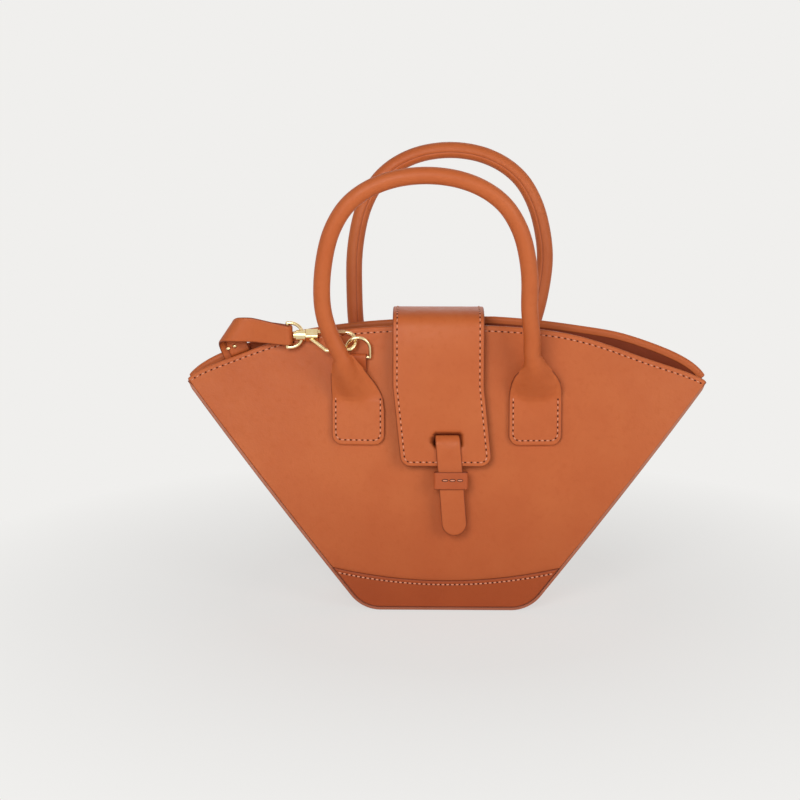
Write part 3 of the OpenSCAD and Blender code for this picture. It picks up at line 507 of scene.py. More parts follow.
def top_at(d, u):
    """Places on the top arc; u runs from -1 at the left corner to 1 at the right one."""
    turn = u * top_turn(d)
    return join(CREST_A * np.sin(turn), CREST_Z - CREST_DROP * (1 - np.cos(turn)))


def base_reach(d):
    """Half length of the outline from one side, round both corners, to the other, moved in by d."""
    return flat_x + (CORNER_R - d) * side_angle


def edge_at(d, s):
    """Places on the outline on both sides of its middle: the left half mirrors the right."""
    p = edge_right(d, np.abs(s))
    return join(np.sign(s) * p[..., 0], p[..., 1])


def panel_columns(d, step, mouth):
    """Feet and tops of a panel's columns, a step apart: on the base, and on the mouth."""
    u = edge_spacing(220, step) / 110 - 1
    top = top_at(d, u)
    top[:, 1] += mouth(top[:, 0])
    return edge_at(d, u * base_reach(d)), top


def front_mouth(x):
    """How far the front's edge sags below the arc: soft leather, more on the right."""
    sag = 6.8 * np.exp(-((x - 120) / 38) ** 2) + 3.6 * np.exp(-((x + 126) / 28) ** 2)
    return -sag * (1 - np.exp(-(CREST_A - np.abs(x)) / 4))


def back_mouth(x):
    """How far the back's edge stands above it, as the back is built, before its half turn."""
    rise = 1.6 * np.clip(-x / 25, 0, 1) + 0.8 * np.exp(-((x + 99) / 16) ** 2)
    return rise * (1 - np.exp(-(CREST_A - np.abs(x)) / 5))


def leather_panel(name, mouth):
    """A panel's leather: it goes over the mouth's edge and a little way down inside."""
    low, top = panel_columns(EDGE_IN, 3.2, mouth)
    roll = PANEL_DEPTH / 2
    high = top - unit(top - low) * roll
    share = edge_spacing(150, 2.8, end=False) / 150
    flat = low[:, None] + (high - low)[:, None] * share[None, :, None]
    centre, n = on_front(*split(high), -roll), face_normal(*split(high))
    up = unit(join(-np.gradient(top[:, 1]), np.zeros(len(top)), np.gradient(top[:, 0])))
    mids, outs = [on_front(*split(flat), -SKIN / 2)], [face_normal(*split(flat))]
    for a in np.radians(np.arange(15, 181, 15)):
        way = n * math.cos(a) + up * math.sin(a)
        mids.append((centre + way * (roll - SKIN / 2))[:, None])
        outs.append(way[:, None])
    for drop in (0.5, 1.0, 1.5, 1.9, 2.2, 2.4, 2.5):
        mids.append((centre - n * (roll - SKIN / 2) - up * drop)[:, None])
        outs.append(-n[:, None])
    return grid_sheet(name, np.concatenate(mids, 1), SKIN, calf, np.concatenate(outs, 1))


def panel_layer(name, mouth, d, depth, thick, low, high, material):
    """A layer inside a panel, stopping short of its base and of its top."""
    start, end = panel_columns(d, 6, mouth)
    way, length = unit(end - start), np.linalg.norm(end - start, axis=-1)
    share = edge_spacing(150, 8) / 150
    at = low + (length - low - high)[:, None] * share
    flat = start[:, None] + way[:, None] * at[..., None]
    mid = on_front(*split(flat), -depth - thick / 2)
    return grid_sheet(name, mid, thick, material, -face_normal(*split(flat)))


def facing_strip(name, mouth):
    """Leather strip round the inside of the mouth, from under the turned edge down to the lining."""
    start, end = panel_columns(EDGE_IN + 0.6, 5, mouth)
    drops = 3 + edge_spacing(FACING_H - 3, 2)
    flat = end[:, None] - unit(end - start)[:, None] * drops[None, ::-1, None]
    mid = on_front(*split(flat), -(LINING_IN + FACING_T / 2) - 0.15)
    return grid_sheet(name, mid, FACING_T, shaded_calf, -face_normal(*split(flat)))


def base_band(name):
    """Band laid over the panel's lower edge, lower in the middle than at the ends."""
    bend = base_reach(EDGE_IN)
    end = bend + (BAND_END_Z - edge_right(EDGE_IN, np.array(bend))[1]) / math.sin(side_angle)
    low = edge_at(EDGE_IN, np.linspace(-end, end, 150))
    u = np.linspace(1, -1, 150)[1:-1]
    high = join(u * low[-1, 0], BAND_MID_Z + (BAND_END_Z - BAND_MID_Z) * u * u)
    loop = fill_loop(np.concatenate([low, high]), 1.0)
    return cut_leather(name, [loop], lambda flat, out: on_front(*split(flat), 0.1 + SKIN / 2 + out),
                       SKIN, painted_shade_band_calf)


def seam_ridge(name):
    """Raw edge of the seam between a panel and the gussets: a narrow painted ridge that ends in points."""
    d = EDGE_IN / 2
    reach = side_length(d) - 3.4
    s = np.linspace(-reach, reach, 420)
    x, z = edge_at(d, s).T
    centre = join(x, -face_y(x, z) + 1.0, z)
    t = unit(np.gradient(centre, axis=0))
    inward = unit(np.cross(t, np.array([0, 1.0, 0])))
    back = np.cross(inward, t)
    turn = full_turn(16)
    square = join(*(np.sign(v) * np.abs(v) ** 0.55 for v in (np.cos(turn), np.sin(turn))))
    size = 0.95 * np.sqrt(np.clip((reach - np.abs(s)) / 3.5, 0.03, 1))[:, None, None]
    ways = inward[:, None] * square[None, :, :1] + back[:, None] * square[None, :, 1:]
    return lathe_along(name, centre[:, None] + size * ways, painted_edge)


# Sides and base

GUSSET_FOLD = 3.2      # how deep the sides fold inwards at the mouth


def side_sheet(name, side, d, thick, narrow, stop_short, material):
    """Strip along one side, folded softly inwards in its upper half."""
    start, stop = base_reach(d) + 0.1, side_length(d) - stop_short
    s = start + edge_spacing(stop - start, 4)
    t = edge_spacing(30, 1.4) / 15 - 1
    p = edge_right(d + thick / 2, s)
    half = face_y(*edge_right(d, s).T) - narrow
    rise = np.clip((s - start) / (stop - start), 0, 1)
    fold = GUSSET_FOLD * np.sin(rise * math.pi / 2) ** 2
    move = fold[:, None] * (1 - np.abs(t)[None] ** 1.6)
    x, z = p[:, :1] - math.sin(side_angle) * move, p[:, 1:] + math.cos(side_angle) * move
    mid = join(side * x, half[:, None] * t[None], z)
    normals = grid_normals(mid)
    normals *= np.sign((normals * np.array([side, 0, -1.0])).sum(-1).mean())
    return grid_sheet(name, mid, thick, material, normals)


def base_skin(name):
    """Base leather, carried round both corners to the sides."""
    half = float(face_y(flat_x, CORNER_R * (1 - math.cos(side_angle)))) - 2.2
    y = edge_spacing(2 * half, 3) - half
    line = edge_at(SKIN / 2, np.linspace(-1, 1, 120) * base_reach(SKIN / 2))
    mid = join(*np.broadcast_arrays(line[:, :1], y[None], line[:, 1:]))
    t = unit(np.gradient(line, axis=0))
    n = join(t[:, 1], np.zeros(len(t)), -t[:, 0])
    return grid_sheet(name, mid, SKIN, calf, np.repeat(n[:, None], len(y), 1))


def floor_lining(name):
    """The cloth on the base board lies a little loose."""
    half = BASE_D / 2 - PANEL_DEPTH - 0.1
    x = edge_spacing(2 * flat_x + 2, 3) - flat_x - 1
    y = edge_spacing(2 * half, 3) - half
    X, Y = np.meshgrid(x, y, indexing="ij")
    bow = 0.35 * (1 - (X / x[-1]) ** 2) * (1 - (Y / half) ** 2)
    mid = join(X, Y, FLOOR_Z - LINING_T / 2 + bow)
    return grid_sheet(name, mid, LINING_T, lining, np.broadcast_to(np.array([0, 0, 1.0]), mid.shape))


# Handles: one rolled leather skin each, whose ends spread into the tabs sewn to a panel

# half of an arch, as shares of its half width and of its rise
ARCH = [(0.98, 0.12), (1, 0.27), (1, 0.45), (0.945, 0.63), (0.86, 0.75), (0.735, 0.85), (0.54, 0.93),
        (0.29, 0.982)]
LEAN_OUT = np.array([0, -math.cos(LEAN), -math.sin(LEAN)])
FOOT = TAB_SPAN / 2 + FOOT_OVER
CREASE_Z = 121.5       # the roll ends here, and the flat tab begins
# how the roll opens into its tab: height, then from the tab's middle its left edge, its right edge,
# and the middle and half width of its bulge
LEFT_SPREAD = np.array([
    (156, -13.4, -4.0, -8.7, 4.7), (152, -13.6, -3.8, -8.7, 4.8), (148, -14.0, -2.8, -8.6, 5.2),
    (144, -14.6, -0.4, -8.2, 6.4), (140, -15.0, 3.2, -7.2, 7.6), (136, -15.2, 6.6, -5.8, 8.8),
    (132, -15.3, 9.4, -4.2, 9.6), (128, -15.2, 11.7, -2.8, 9.8), (124.5, -15.1, 13.3, -1.6, 9.2),
    (CREASE_Z, -15, 14.2, -1, 8)])
RIGHT_SPREAD = np.array([
    (156, -7.9, 1.5, -3.2, 4.7), (152, -7.3, 2.2, -2.6, 4.8), (148, -6.8, 3.1, -1.9, 5.0),
    (144, -7.3, 5.2, -1.2, 6.4), (140, -9.8, 8.6, -0.6, 9.0), (136, -12.4, 12.0, -0.3, 11.2),
    (132, -13.8, 14.1, 0, 12.4), (128, -14.5, 14.9, 0, 12.2), (124.5, -14.9, 15, 0, 11),
    (CREASE_Z, -15, 15, 0, 9)])
BULGE = (4.7, 4.7, 4.75, 4.8, 4.6, 4.1, 3.4, 2.6, 1.7, 0.6)    # its height on those rows
TAB_T, TAB_LIFT, TAB_CORNER = 2.2, 0.35, 6


def lean_point(x, h):
    """Place in the plane in which a handle leans outwards, at a height over its fold."""
    return np.array([x, -FOLD_OUT - h * math.tan(LEAN), FOLD_Z + h])


def arch_line(rise, skew, half, tuck):
    """Centre line of a handle from its left foot over the apex to its right foot."""
    right = [(a * half + skew * min(1, 0.5 + b * 2), b * rise) for a, b in ARCH]
    left = [(-a * half + skew * min(1, 0.5 + b * 2) + tuck * max(0, 1 - b / 0.45) ** 1.2, b * rise)
            for a, b in ARCH]
    keys = [(skew / 2 - FOOT + tuck, 0), *left, (skew, rise), *right[::-1], (skew / 2 + FOOT, 0)]
    return np.array([lean_point(*p) for p in smooth_curve(keys, 7)])


def leg_rows(foot_x, tab_x, spread, side):
    """Rows from the fold down to the tab's lower edge: centre, out, half width, the bulge's middle,
    half width and height, flat half thickness, and the bulge's sharpness; side is which way x runs
    across them."""
    rows = []
    tab_mid = TAB_LIFT + TAB_T / 2
    crease = on_front(tab_x, CREASE_Z, tab_mid)
    aside = foot_x - tab_x - spread[0, 3]
    reach, slope = FOLD_Z - CREASE_Z, float(face_y(tab_x, CREASE_Z - 1) - face_y(tab_x, CREASE_Z))
    for z in np.linspace(FOLD_Z - 1.6, CREASE_Z, 22):
        t = (FOLD_Z - z) / reach
        left, right, middle, wide, high = (
            np.interp(-z, -spread[:, 0], values) for values in (*spread[:, 1:].T, BULGE))
        shift = aside * np.clip((z - 130) / 18, 0, 1)
        e = TAB_T / 2 * np.clip((t - 0.1) / 0.5, 0, 1)
        out = unit(LEAN_OUT * (1 - t) + face_normal(tab_x, CREASE_Z) * t)
        # a soft S from the leaning roll to the panel's slope
        y = (-FOLD_OUT * (1 - t) ** 2 * (1 + 2 * t) + crease[1] * t * t * (3 - 2 * t)
             + reach * (math.tan(LEAN) * t * (1 - t) ** 2 + slope * t * t * (1 - t)))
        centre = (left + right) / 2
        place, sharp = np.array([tab_x + centre + shift, y, z]), 0.5 + np.clip((t - 0.05) / 0.4, 0, 1)
        rows.append((place, out, (right - left) / 2, side * (middle - centre), wide, high, e, sharp))
    round_end = [CREASE_Z - TAB_LOW_Z - r for r in (5.5, 5, 4.4, 3.6, 2.8, 2, 1.3, 0.8, 0.4, 0.15, 0)]
    for drop in [0.4, 1.2, 3, 6, 9, 12, 15, 18, 19.5] + round_end:
        z = CREASE_Z - drop
        above = z - TAB_LOW_Z
        narrow = (TAB_W / 2 - spread[-1, 2]) * max(0, 1 - drop / 5.5) / 2
        corner = max(TAB_CORNER - above, 0)
        w = TAB_W / 2 - narrow - (TAB_CORNER - math.sqrt(TAB_CORNER ** 2 - corner ** 2))
        round_off = math.sqrt(max(0.02, 1 - (1 - min(1, above / 0.7)) ** 2))
        rows.append((on_front(tab_x - narrow, z, tab_mid), face_normal(tab_x, z), w, 0, 8 - drop / 2,
                     0.55 * max(0, 1 - drop / 3.5), TAB_T / 2 * round_off, 1.5))
    return rows


def rolled_handle(name, rise, skew, half, tuck, spreads):
    """One closed skin: rings along the left tab, the roll and the right tab."""
    arch = [(p, LEAN_OUT, ROLL_R, 0, ROLL_R, ROLL_R, 0, 0.5) for p in arch_line(rise, skew, half, tuck)]
    left = leg_rows(skew / 2 - FOOT + tuck, -TAB_SPAN / 2, spreads[0], 1)
    right = leg_rows(skew / 2 + FOOT, TAB_SPAN / 2, spreads[1], -1)
    rows = left[::-1] + arch + right
    centre, out = (np.array([r[k] for r in rows]) for k in range(2))
    w, middle, wide, b, e, sharp = (np.array([r[k] for r in rows])[:, None] for k in range(2, 8))
    high = (centre[:, 2] > CREASE_Z + 4)[:, None]
    centre = np.where(high, soften(centre, 8), centre)
    along = unit(soften(unit(np.gradient(centre, axis=0)), 6))
    out = unit(soften(out, 6))
    out = unit(out - along * (out * along).sum(1, keepdims=True))
    side = np.cross(along, out)
    # where the skin is flat its rows stay level, so that they don't cross
    flat_share = np.clip(sharp - 0.5, 0, 1)
    level = unit(join(-out[:, 1], out[:, 0], np.zeros(len(out))))
    side = unit(side * (1 - flat_share) + level * np.sign(side[:, :1]) * flat_share)
    out = unit(np.cross(side, along))
    turn = full_turn(64)
    c, s = np.cos(turn), np.sin(turn)
    x = w * np.sign(c) * np.abs(c) ** (1 - 0.4 * flat_share)
    bulge = b * np.maximum(0, 1 - ((x - middle) / wide) ** 2) ** sharp
    y = np.sign(s) * (e * np.abs(s) ** 0.3 + bulge * np.where(s < 0, 1 - 0.65 * flat_share, 1))
    # the long seam of the roll is a groove on the side towards the bag
    groove = np.exp(-((turn - 1.6 * math.pi) / 0.085) ** 2) * (flat_share < 0.03)
    y = y + 0.5 * groove
    rings = centre[:, None] + side[:, None] * x[..., None] + out[:, None] * y[..., None]
    # darker cut edges are partly edge paint; the darkening in the seam groove is painted shade
    edge_paint_and_shade = np.maximum(np.exp(-(w - np.abs(x)) / EDGE_PAINT_AND_SHADE_REACH) * (e > 0.5), 0.75 * groove)
    coords = join(*np.broadcast_arrays(distances(centre)[:, None], turn[None] * ROLL_R))
    return lathe_along(name, rings, calf, edge_paint_and_shade.reshape(-1), coords.reshape(-1, 2))


def handle_filler(name, *shape):
    """Cord inside the roll, ending above the fold, which bends."""
    line = arch_line(*shape)
    line = line[line[:, 2] > FOLD_Z + 10]
    side = np.cross(unit(np.gradient(line, axis=0)), LEAN_OUT)
    turn = full_turn(24)
    twist = np.arange(len(line))[:, None] * 0.45
    r = 2.9 + 0.2 * np.cos(3 * (turn[None] - twist))  # three strands
    way = np.cos(turn)[None, :, None] * LEAN_OUT + np.sin(turn)[None, :, None] * side[:, None]
    return lathe_along(name, line[:, None] + r[..., None] * way, cotton)


# Flap, its anchor, the tongue and its keeper

def front_out(z):
    """Where the flap's inside hangs, in front of the panel."""
    return -float(face_y(0, z)) - FLAP_LIFT


def flap_keys():
    """The flap's path from its hinge over the mouth and down the front: y and z."""
    half, drop = MOUTH_D / 2, CREST_Z - 10 - FLAP_LOW_Z
    keys = [(HINGE_Y - FLAP_T / 2, HINGE_Z), (half - 0.4, CREST_Z + 2.4), (half - 3.6, CREST_Z + 4.5),
            (4, CREST_Z + FLAP_ARCH), (-4, CREST_Z + FLAP_ARCH), (-half + 3, CREST_Z + 4.6),
            (-half - 2.2, CREST_Z + 2.1), (-half - 3.9, CREST_Z - 2)]
    down = [FLAP_LOW_Z + drop * i / 5 for i in range(5, -1, -1)]
    return keys + [(front_out(z), z) for z in down]


class Path:
    """A line in the plane x = 0 that a strip of leather follows, with distances along it."""

    def __init__(self, points):
        self.points = np.asarray(points, float)
        self.run = distances(self.points)
        t = unit(np.gradient(self.points, axis=0))
        self.out = join(t[:, 1], -t[:, 0])

    def place(self, x, s, out):
        """Points at x and the distance s along the line, raised by out."""
        y, z, out_y, out_z = (np.interp(s, self.run, v) for v in (*self.points.T, *self.out.T))
        return join(x, y + out_y * out, z + out_z * out)

    def at_height(self, z):
        """Distance along the line at which it crosses a height, on its way down at the front."""
        z = max(z, self.points[-1, 1] + 1e-6)
        crossing = np.where((self.points[:-1, 1] >= z) & (self.points[1:, 1] < z))[0][-1]
        a, b = self.points[crossing, 1], self.points[crossing + 1, 1]
        return self.run[crossing] + (a - z) / (a - b) * (self.run[crossing + 1] - self.run[crossing])


# before its hinge the path runs up the back panel from the anchor's lower edge
back_run = [(float(face_y(0, z)) - 0.6, z) for z in np.linspace(CREST_Z - 38, CREST_Z - 3, 16)]
flap_path = Path(np.concatenate([back_run, smooth_curve(flap_keys(), 6)]))
hinge_s = float(flap_path.run[len(back_run)])


def flap_line(inset, start):
    """Closed outline of the flap moved in by inset, from the distance start along its path:
    x and minus the distance."""
    r = max(FLAP_CORNER - inset, 0.4)
    half = FLAP_W / 2 - inset
    bend, stop = flap_path.at_height(FLAP_LOW_Z + 45), flap_path.at_height(FLAP_LOW_Z + inset) - r
    s = np.concatenate([np.linspace(start + inset + r, bend, 60)[:-1], np.linspace(bend, stop, 30)])
    turn = np.linspace(0, math.pi / 2, 10)[1:]
    arc = join(r * (1 - np.cos(turn)), r * np.sin(turn))
    head = [FLAP_TOP_X - half, start + inset + r] + arc * [1, -1]
    side = join(np.interp(s, [bend, stop], [FLAP_TOP_X, FLAP_LOW_X]) - half, s)
    left = np.concatenate([head[::-1], side, [FLAP_LOW_X - half, stop] + arc])
    middle = np.interp(left[:, 1], [bend, stop], [FLAP_TOP_X, FLAP_LOW_X])
    right = join(2 * middle - left[:, 0], left[:, 1])[::-1]
    return np.concatenate([left, right]) * [1, -1]


slot_s = flap_path.at_height(SLOT_Z)
LEATHER_FROM = 0.9     # from the flap's path, its inside, out to its leather; the lining is between them


def flap_place(near):
    """Puts the flap's pattern in space, raised from the path by near; its front is a little crowned."""
    def place(flat, out):
        s = -flat[:, 1]
        crown = 0.9 * (1 - np.clip(np.abs(flat[:, 0] - FLAP_TOP_X) / (FLAP_W / 2), 0, 1) ** 2)
        crown = crown * np.clip((s - hinge_s - 15) / 30, 0, 1) * np.clip((slot_s - 4 - s) / 30, 0, 1)
        return flap_path.place(flat[:, 0], s, near + crown + out)
    return place


def flap_layer(name, near, thick, inset, start, material):
    """A layer of the flap with its slot for the tongue."""
    half = TONGUE_W / 2 - 0.2 + inset / 2
    slot = rounded_box(SLOT_X - half, SLOT_X + half, -(slot_s + SLOT_H), -slot_s, 0.5, 0.6)
    return cut_leather(name, [fill_loop(flap_line(inset, start), 1.1), slot],
                       flap_place(near + thick / 2), thick, material)


def tongue_points():
    """The tongue's path from behind the flap out through the slot and down the front: y and z."""
    inner, outer = TONGUE_T + 0.1, FLAP_T + 0.1
    top, foot = SLOT_Z - 0.3, SLOT_Z - SLOT_H + 0.9
    keys = [(front_out(z) + inner, z) for z in (SLOT_Z + 5, SLOT_Z + 2, top)]
    for k in (0.67, 0.33):
        z = foot + (top - foot) * k
        keys.append((front_out(z) - outer + (inner + outer) * k, z))
    return keys + [(front_out(z) - outer, z) for z in np.linspace(foot, TONGUE_LOW_Z, 8)]


tongue_path = Path(smooth_curve(tongue_points(), 4))


def tongue_x(s):
    """The tongue hangs a little to the right."""
    return np.interp(s, [0, tongue_path.run[-1]], [-0.2, 5.0])


def tongue_strap(name):
    """Tongue with a round end."""
    half, end = TONGUE_W / 2, tongue_path.run[-1] - TONGUE_W / 2
    s = np.linspace(0, end, 60)
    turn = np.linspace(0, math.pi, 26)[1:-1]
    tip = join(tongue_x(end) - half * np.cos(turn), end + half * np.sin(turn))
    loop = np.concatenate([join(tongue_x(s) - half, s), tip, join(tongue_x(s) + half, s)[::-1]])
    return cut_leather(name, [fill_loop(loop * [1, -1], 1.0)],
                       lambda flat, out: tongue_path.place(flat[:, 0], -flat[:, 1], TONGUE_T / 2 + out),
                       TONGUE_T, calf)


keeper_pitch = float(math.atan((face_y(0, KEEPER_Z - 1) - face_y(0, KEEPER_Z + 1)) / 2))


keeper = np.array([float(tongue_x(tongue_path.at_height(KEEPER_Z))),
                   front_out(KEEPER_Z) - FLAP_T - 0.1 - TONGUE_T / 2, KEEPER_Z])


def tongue_loop(name):
    """Keeper: a short closed band of leather round the tongue."""
    half_w, half_d = (KEEPER_W - KEEPER_T) / 2, (TONGUE_T + 0.6 + KEEPER_T) / 2
    loop = rounded_box(-half_w, half_w, -half_d, half_d, 1.1, 0.5)
    across = np.array([[1, 0, 0], [0, math.cos(keeper_pitch), -math.sin(keeper_pitch)]])
    way = np.array([0, math.sin(keeper_pitch), math.cos(keeper_pitch)])
    turn = full_turn(36)
    c, s = np.cos(turn), np.sin(turn)
    up = (KEEPER_H / 2) * np.sign(s) * np.abs(s) ** 0.16
    off = (KEEPER_T / 2) * np.sign(c) * np.abs(c) ** 0.45
    rings = (keeper + loop @ across)[:, None] + up[None, :, None] * way
    rings += (-loop_normals(loop) @ across)[:, None] * off[None, :, None]
    # darker edges of the keeper: partly edge paint, partly painted shade
    edge_paint_and_shade = np.exp(-(KEEPER_H / 2 - np.abs(up)) / 0.5)
    faces = grid_faces(len(loop) + 1, len(turn), wrap=True)
    faces = [[corner % (len(loop) * len(turn)) for corner in face] for face in faces]
    return new_piece(name, rings.reshape(-1, 3), faces, painted_shade_strip_calf, np.tile(edge_paint_and_shade, len(loop)))


# Ring loops

RING_X, RING_Z = -TAB_SPAN / 2, 145.5
LOOP_W, LOOP_T, LOOP_IN, LOOP_LIFT = 10, 1.0, 1.15, 0.45


def ring_holder(name):
    """Leather loop round a D ring's bar, its two legs sewn down one on the other."""
    bar = LOOP_LIFT + LOOP_T + LOOP_IN
    r = LOOP_IN + LOOP_T / 2
    first, second = LOOP_LIFT + LOOP_T / 2, LOOP_LIFT + LOOP_T * 1.5 + 0.1
    keys = [(x, first) for x in (-14, -9, -4, -1)]
    keys += [(r * math.cos(a), bar + r * math.sin(a)) for a in np.radians(np.arange(-85, 86, 17))]
    keys += [(-2.2, bar + r - 0.35), (-5, second + 0.9), (-7.5, second + 0.1)]
    keys += [(-10.5, second), (-14, second)]
    line = smooth_curve(keys, 3)
    x = RING_X + edge_spacing(LOOP_W, 1.3) - LOOP_W / 2
    X, U = np.meshgrid(x, line[:, 0], indexing="xy")
    out = np.repeat(line[:, 1:], len(x), 1)
    return grid_sheet(name, on_front(X, RING_Z + U * 0.993, out), LOOP_T * 0.96, painted_shade_strip_calf)


# Shoulder strap: doubled through the front eye, folded over the mouth and coiled up in the bag

STRAP_W, STRAP_T = 14, 1.8
HOOK_AT, EYE_BAR_X, EYE_WIRE = np.array([-79.8, -14.6, 158]), -10.2, 1.0
BAR_AT, SPARE_BAR = HOOK_AT + [EYE_BAR_X, 0, 0], np.array([12.2 + EYE_BAR_X, 0, 29.7])
WRAP_R = EYE_WIRE + 0.2 + STRAP_T / 2
FOLD_TURN, FOLD_AT, FOLD_R = math.radians(56), np.array([-116.4, -11.5, 160.5]), 6.0
# distances along the strap from the ridge of the fold, and the share of its width at the eye and its tail
LEVEL_S, EYE_S, TAIL_S, FOLD_END_S = -6, FOLD_AT[0] - BAR_AT[0], 25, 36
EYE_SHARE, TAIL_SHARE = 0.81, 0.84
HANK_A, HANK_B, HANK_Z, HANK_TURNS, HANK_PITCH = 40, 21.5, 11.5, 5, 2.6
# keys down to the hank and up to the spare hook: place, direction across the strap, share of its width
WAY_DOWN = [(-112.4, 0.3, 123, 0.8, 0.5, 0.3), (-105, 0, 106, 0.1, 1, 0), (-92, 0, 84, 0, 1, 0),
            (-76, 0, 62, 0, 1, 0), (-64, -3, 42, 0, 0.8, 0.5), (-54, -8, 26, 0, 0.3, 0.95),
            (-46, -8, 16, 0, 0, 1), (-41.5, -4, 12, 0, 0, 1)]
WAY_UP = [(-24, 3.2, 12, 0, 0, 1, 1), (-17, 3.8, 15.5, 0, 0.35, 0.93, 1), (-10, 3, 20.4, 0, 0.85, 0.5, 1),
          (-4, 1, 25.2, 0, 1, 0.1, 0.9)]
strap_columns = edge_spacing(STRAP_W, 1.6) / STRAP_W - 0.5


def near_eye(s):
    """None up to LEVEL_S, and one at the eye."""
    return max(0, (s - LEVEL_S) / (EYE_S - LEVEL_S))


def fold_point(s, w, r, y):
    """Place of the strap at s along it and w across it, turned over a ridge of radius r."""
    c, k = math.cos(FOLD_TURN), math.sin(FOLD_TURN)
    f, n = np.array([-c, 0, -k]), np.array([-k, 0, c])
    a, q = s * c - w * k, s * k + w * c
    turn = min(math.pi, max(0, q / r))
    over = q if q < 0 else -max(0, q - math.pi * r)
    start = np.array([FOLD_AT[0], y, FOLD_AT[2] + (BAR_AT[2] - FOLD_AT[2]) * near_eye(s)])
    return start + a * f + (r * math.sin(turn) + over) * n + np.array([0, r * (1 - math.cos(turn)), 0])


def front_y(s):
    """How far forward the strap's outer run lies."""
    return FOLD_AT[1] + (BAR_AT[1] - WRAP_R - FOLD_AT[1]) * near_eye(s)


def fold_rows(first, last, count, r, y_at, most=1):
    """Rows of the strap where it is folded, narrower towards the eye."""
    rows = []
    for s in np.linspace(first, last, count):
        share = min(most, 1 - (1 - EYE_SHARE) * near_eye(s))
        rows.append([fold_point(s, STRAP_W * share * k, r, y_at(s)) for k in strap_columns])
    return list(soften(rows))


def key_row(k):
    """A row across the strap from its place, its direction across and, where it is narrower, its share."""
    k = np.asarray(k, float)
    share = k[6] if len(k) > 6 else 1
    return k[:3] + unit(k[3:6]) * (STRAP_W * share * strap_columns)[:, None]


def bar_rows(bar, up, across, turns):
    """Rows round the bar of an eye, turned from x towards up."""
    ways = [np.array([math.cos(a), 0, 0]) + math.sin(a) * np.array(up) for a in np.radians(turns)]
    return [key_row([*(bar + WRAP_R * way), *across, EYE_SHARE]) for way in ways]


def strap_rows():
    """The strap from its tail round the front eye, over the mouth, round the hank and to the spare hook."""
    rows = fold_rows(TAIL_S, EYE_S, 40, FOLD_R - STRAP_T - 0.1,
                     lambda s: max(BAR_AT[1] + WRAP_R, front_y(s) + STRAP_T + 0.1), TAIL_SHARE)
    rows += bar_rows(BAR_AT, (0, 1, 0), (0, 0, 1), np.arange(75, -76, -15))
    rows += fold_rows(EYE_S, FOLD_END_S, 64, FOLD_R, front_y)
    end = fold_point(FOLD_END_S, 0, FOLD_R, FOLD_AT[1])
    side = fold_point(FOLD_END_S, 1, FOLD_R, FOLD_AT[1]) - end
    down = smooth_curve([(*end, *side), *WAY_DOWN, (-HANK_A, 0, HANK_Z, 0, 0, 1)], 7)
    turns = np.arange(1, HANK_TURNS * 48 + 1) / 48
    coil = join(-(HANK_A - HANK_PITCH * turns) * np.cos(2 * math.pi * turns),
                (HANK_B - HANK_PITCH * turns) * np.sin(2 * math.pi * turns), np.full_like(turns, HANK_Z))
    foot = SPARE_BAR - [0, 0, WRAP_R]
    up = smooth_curve([(*coil[-1], 0, 0, 1, 1), *WAY_UP, (*foot, 0, 1, 0, EYE_SHARE)], 7)
    rows += [key_row(k) for k in [*down[1:], *([*p, 0, 0, 1] for p in coil), *up[1:]]]
    rows += bar_rows(SPARE_BAR, (0, 0, 1), (0, 1, 0), np.arange(-75, 91, 15))
    spare_end = ([-1.6, 0.1, 1.8], [-3.5, 0.3, 0.9], [-5.2, 0.45, 0], [-7, 0.6, -0.9])
    return np.array(rows + [key_row([*(SPARE_BAR + v), 0, 1, 0, EYE_SHARE]) for v in spare_end])


# Stitches: one tree lays a thread and the pricked holes between threads along rows of points

def stitch_tree():
    """Geometry Nodes tree that puts one small rounded grain on each point, along its row."""
    tree = bpy.data.node_groups.new("stitch row", "GeometryNodeTree")
    faces = tree.interface
    faces.new_socket("Geometry", in_out="INPUT", socket_type="NodeSocketGeometry")
    sizes = (("Length", 0.0026), ("Width", 0.0006), ("Height", 0.0006), ("Length spread", 0.08))
    for label, value in sizes:
        faces.new_socket(label, in_out="INPUT", socket_type="NodeSocketFloat").default_value = value
    faces.new_socket("Seed", in_out="INPUT", socket_type="NodeSocketInt").default_value = 7
    faces.new_socket("Finish", in_out="INPUT", socket_type="NodeSocketMaterial")
    faces.new_socket("Geometry", in_out="OUTPUT", socket_type="NodeSocketGeometry")
    given = add(tree, "NodeGroupInput").outputs
    grain = add(tree, "GeometryNodeMeshUVSphere", {"Segments": 8, "Rings": 5, "Radius": 0.5})
    along, up = (add(tree, "GeometryNodeInputNamedAttribute", {"Name": label}, data_type="FLOAT_VECTOR")
                 for label in ("along", "up"))
    turn = add(tree, "FunctionNodeAlignRotationToVector", {"Vector": along}, axis="X")
    turn = add(tree, "FunctionNodeAlignRotationToVector", {"Rotation": turn, "Vector": up}, axis="Z",
               pivot_axis="X")
    low = reckon(tree, "SUBTRACT", 1.0, given["Length spread"])
    share = add(tree, "FunctionNodeRandomValue", {2: low, 3: 1.0, "Seed": given["Seed"]},
                data_type="FLOAT")
    length = reckon(tree, "MULTIPLY", given["Length"], share)
    scale = add(tree, "ShaderNodeCombineXYZ", {"X": length, "Y": given["Width"], "Z": given["Height"]})
    laid = add(tree, "GeometryNodeInstanceOnPoints", {
        "Points": given["Geometry"], "Instance": grain, "Rotation": turn, "Scale": scale})
    real = add(tree, "GeometryNodeRealizeInstances", {"Geometry": laid})
    finished = add(tree, "GeometryNodeSetMaterial", {"Geometry": real, "Material": given["Finish"]})
    add(tree, "NodeGroupOutput", {"Geometry": finished})
    return tree


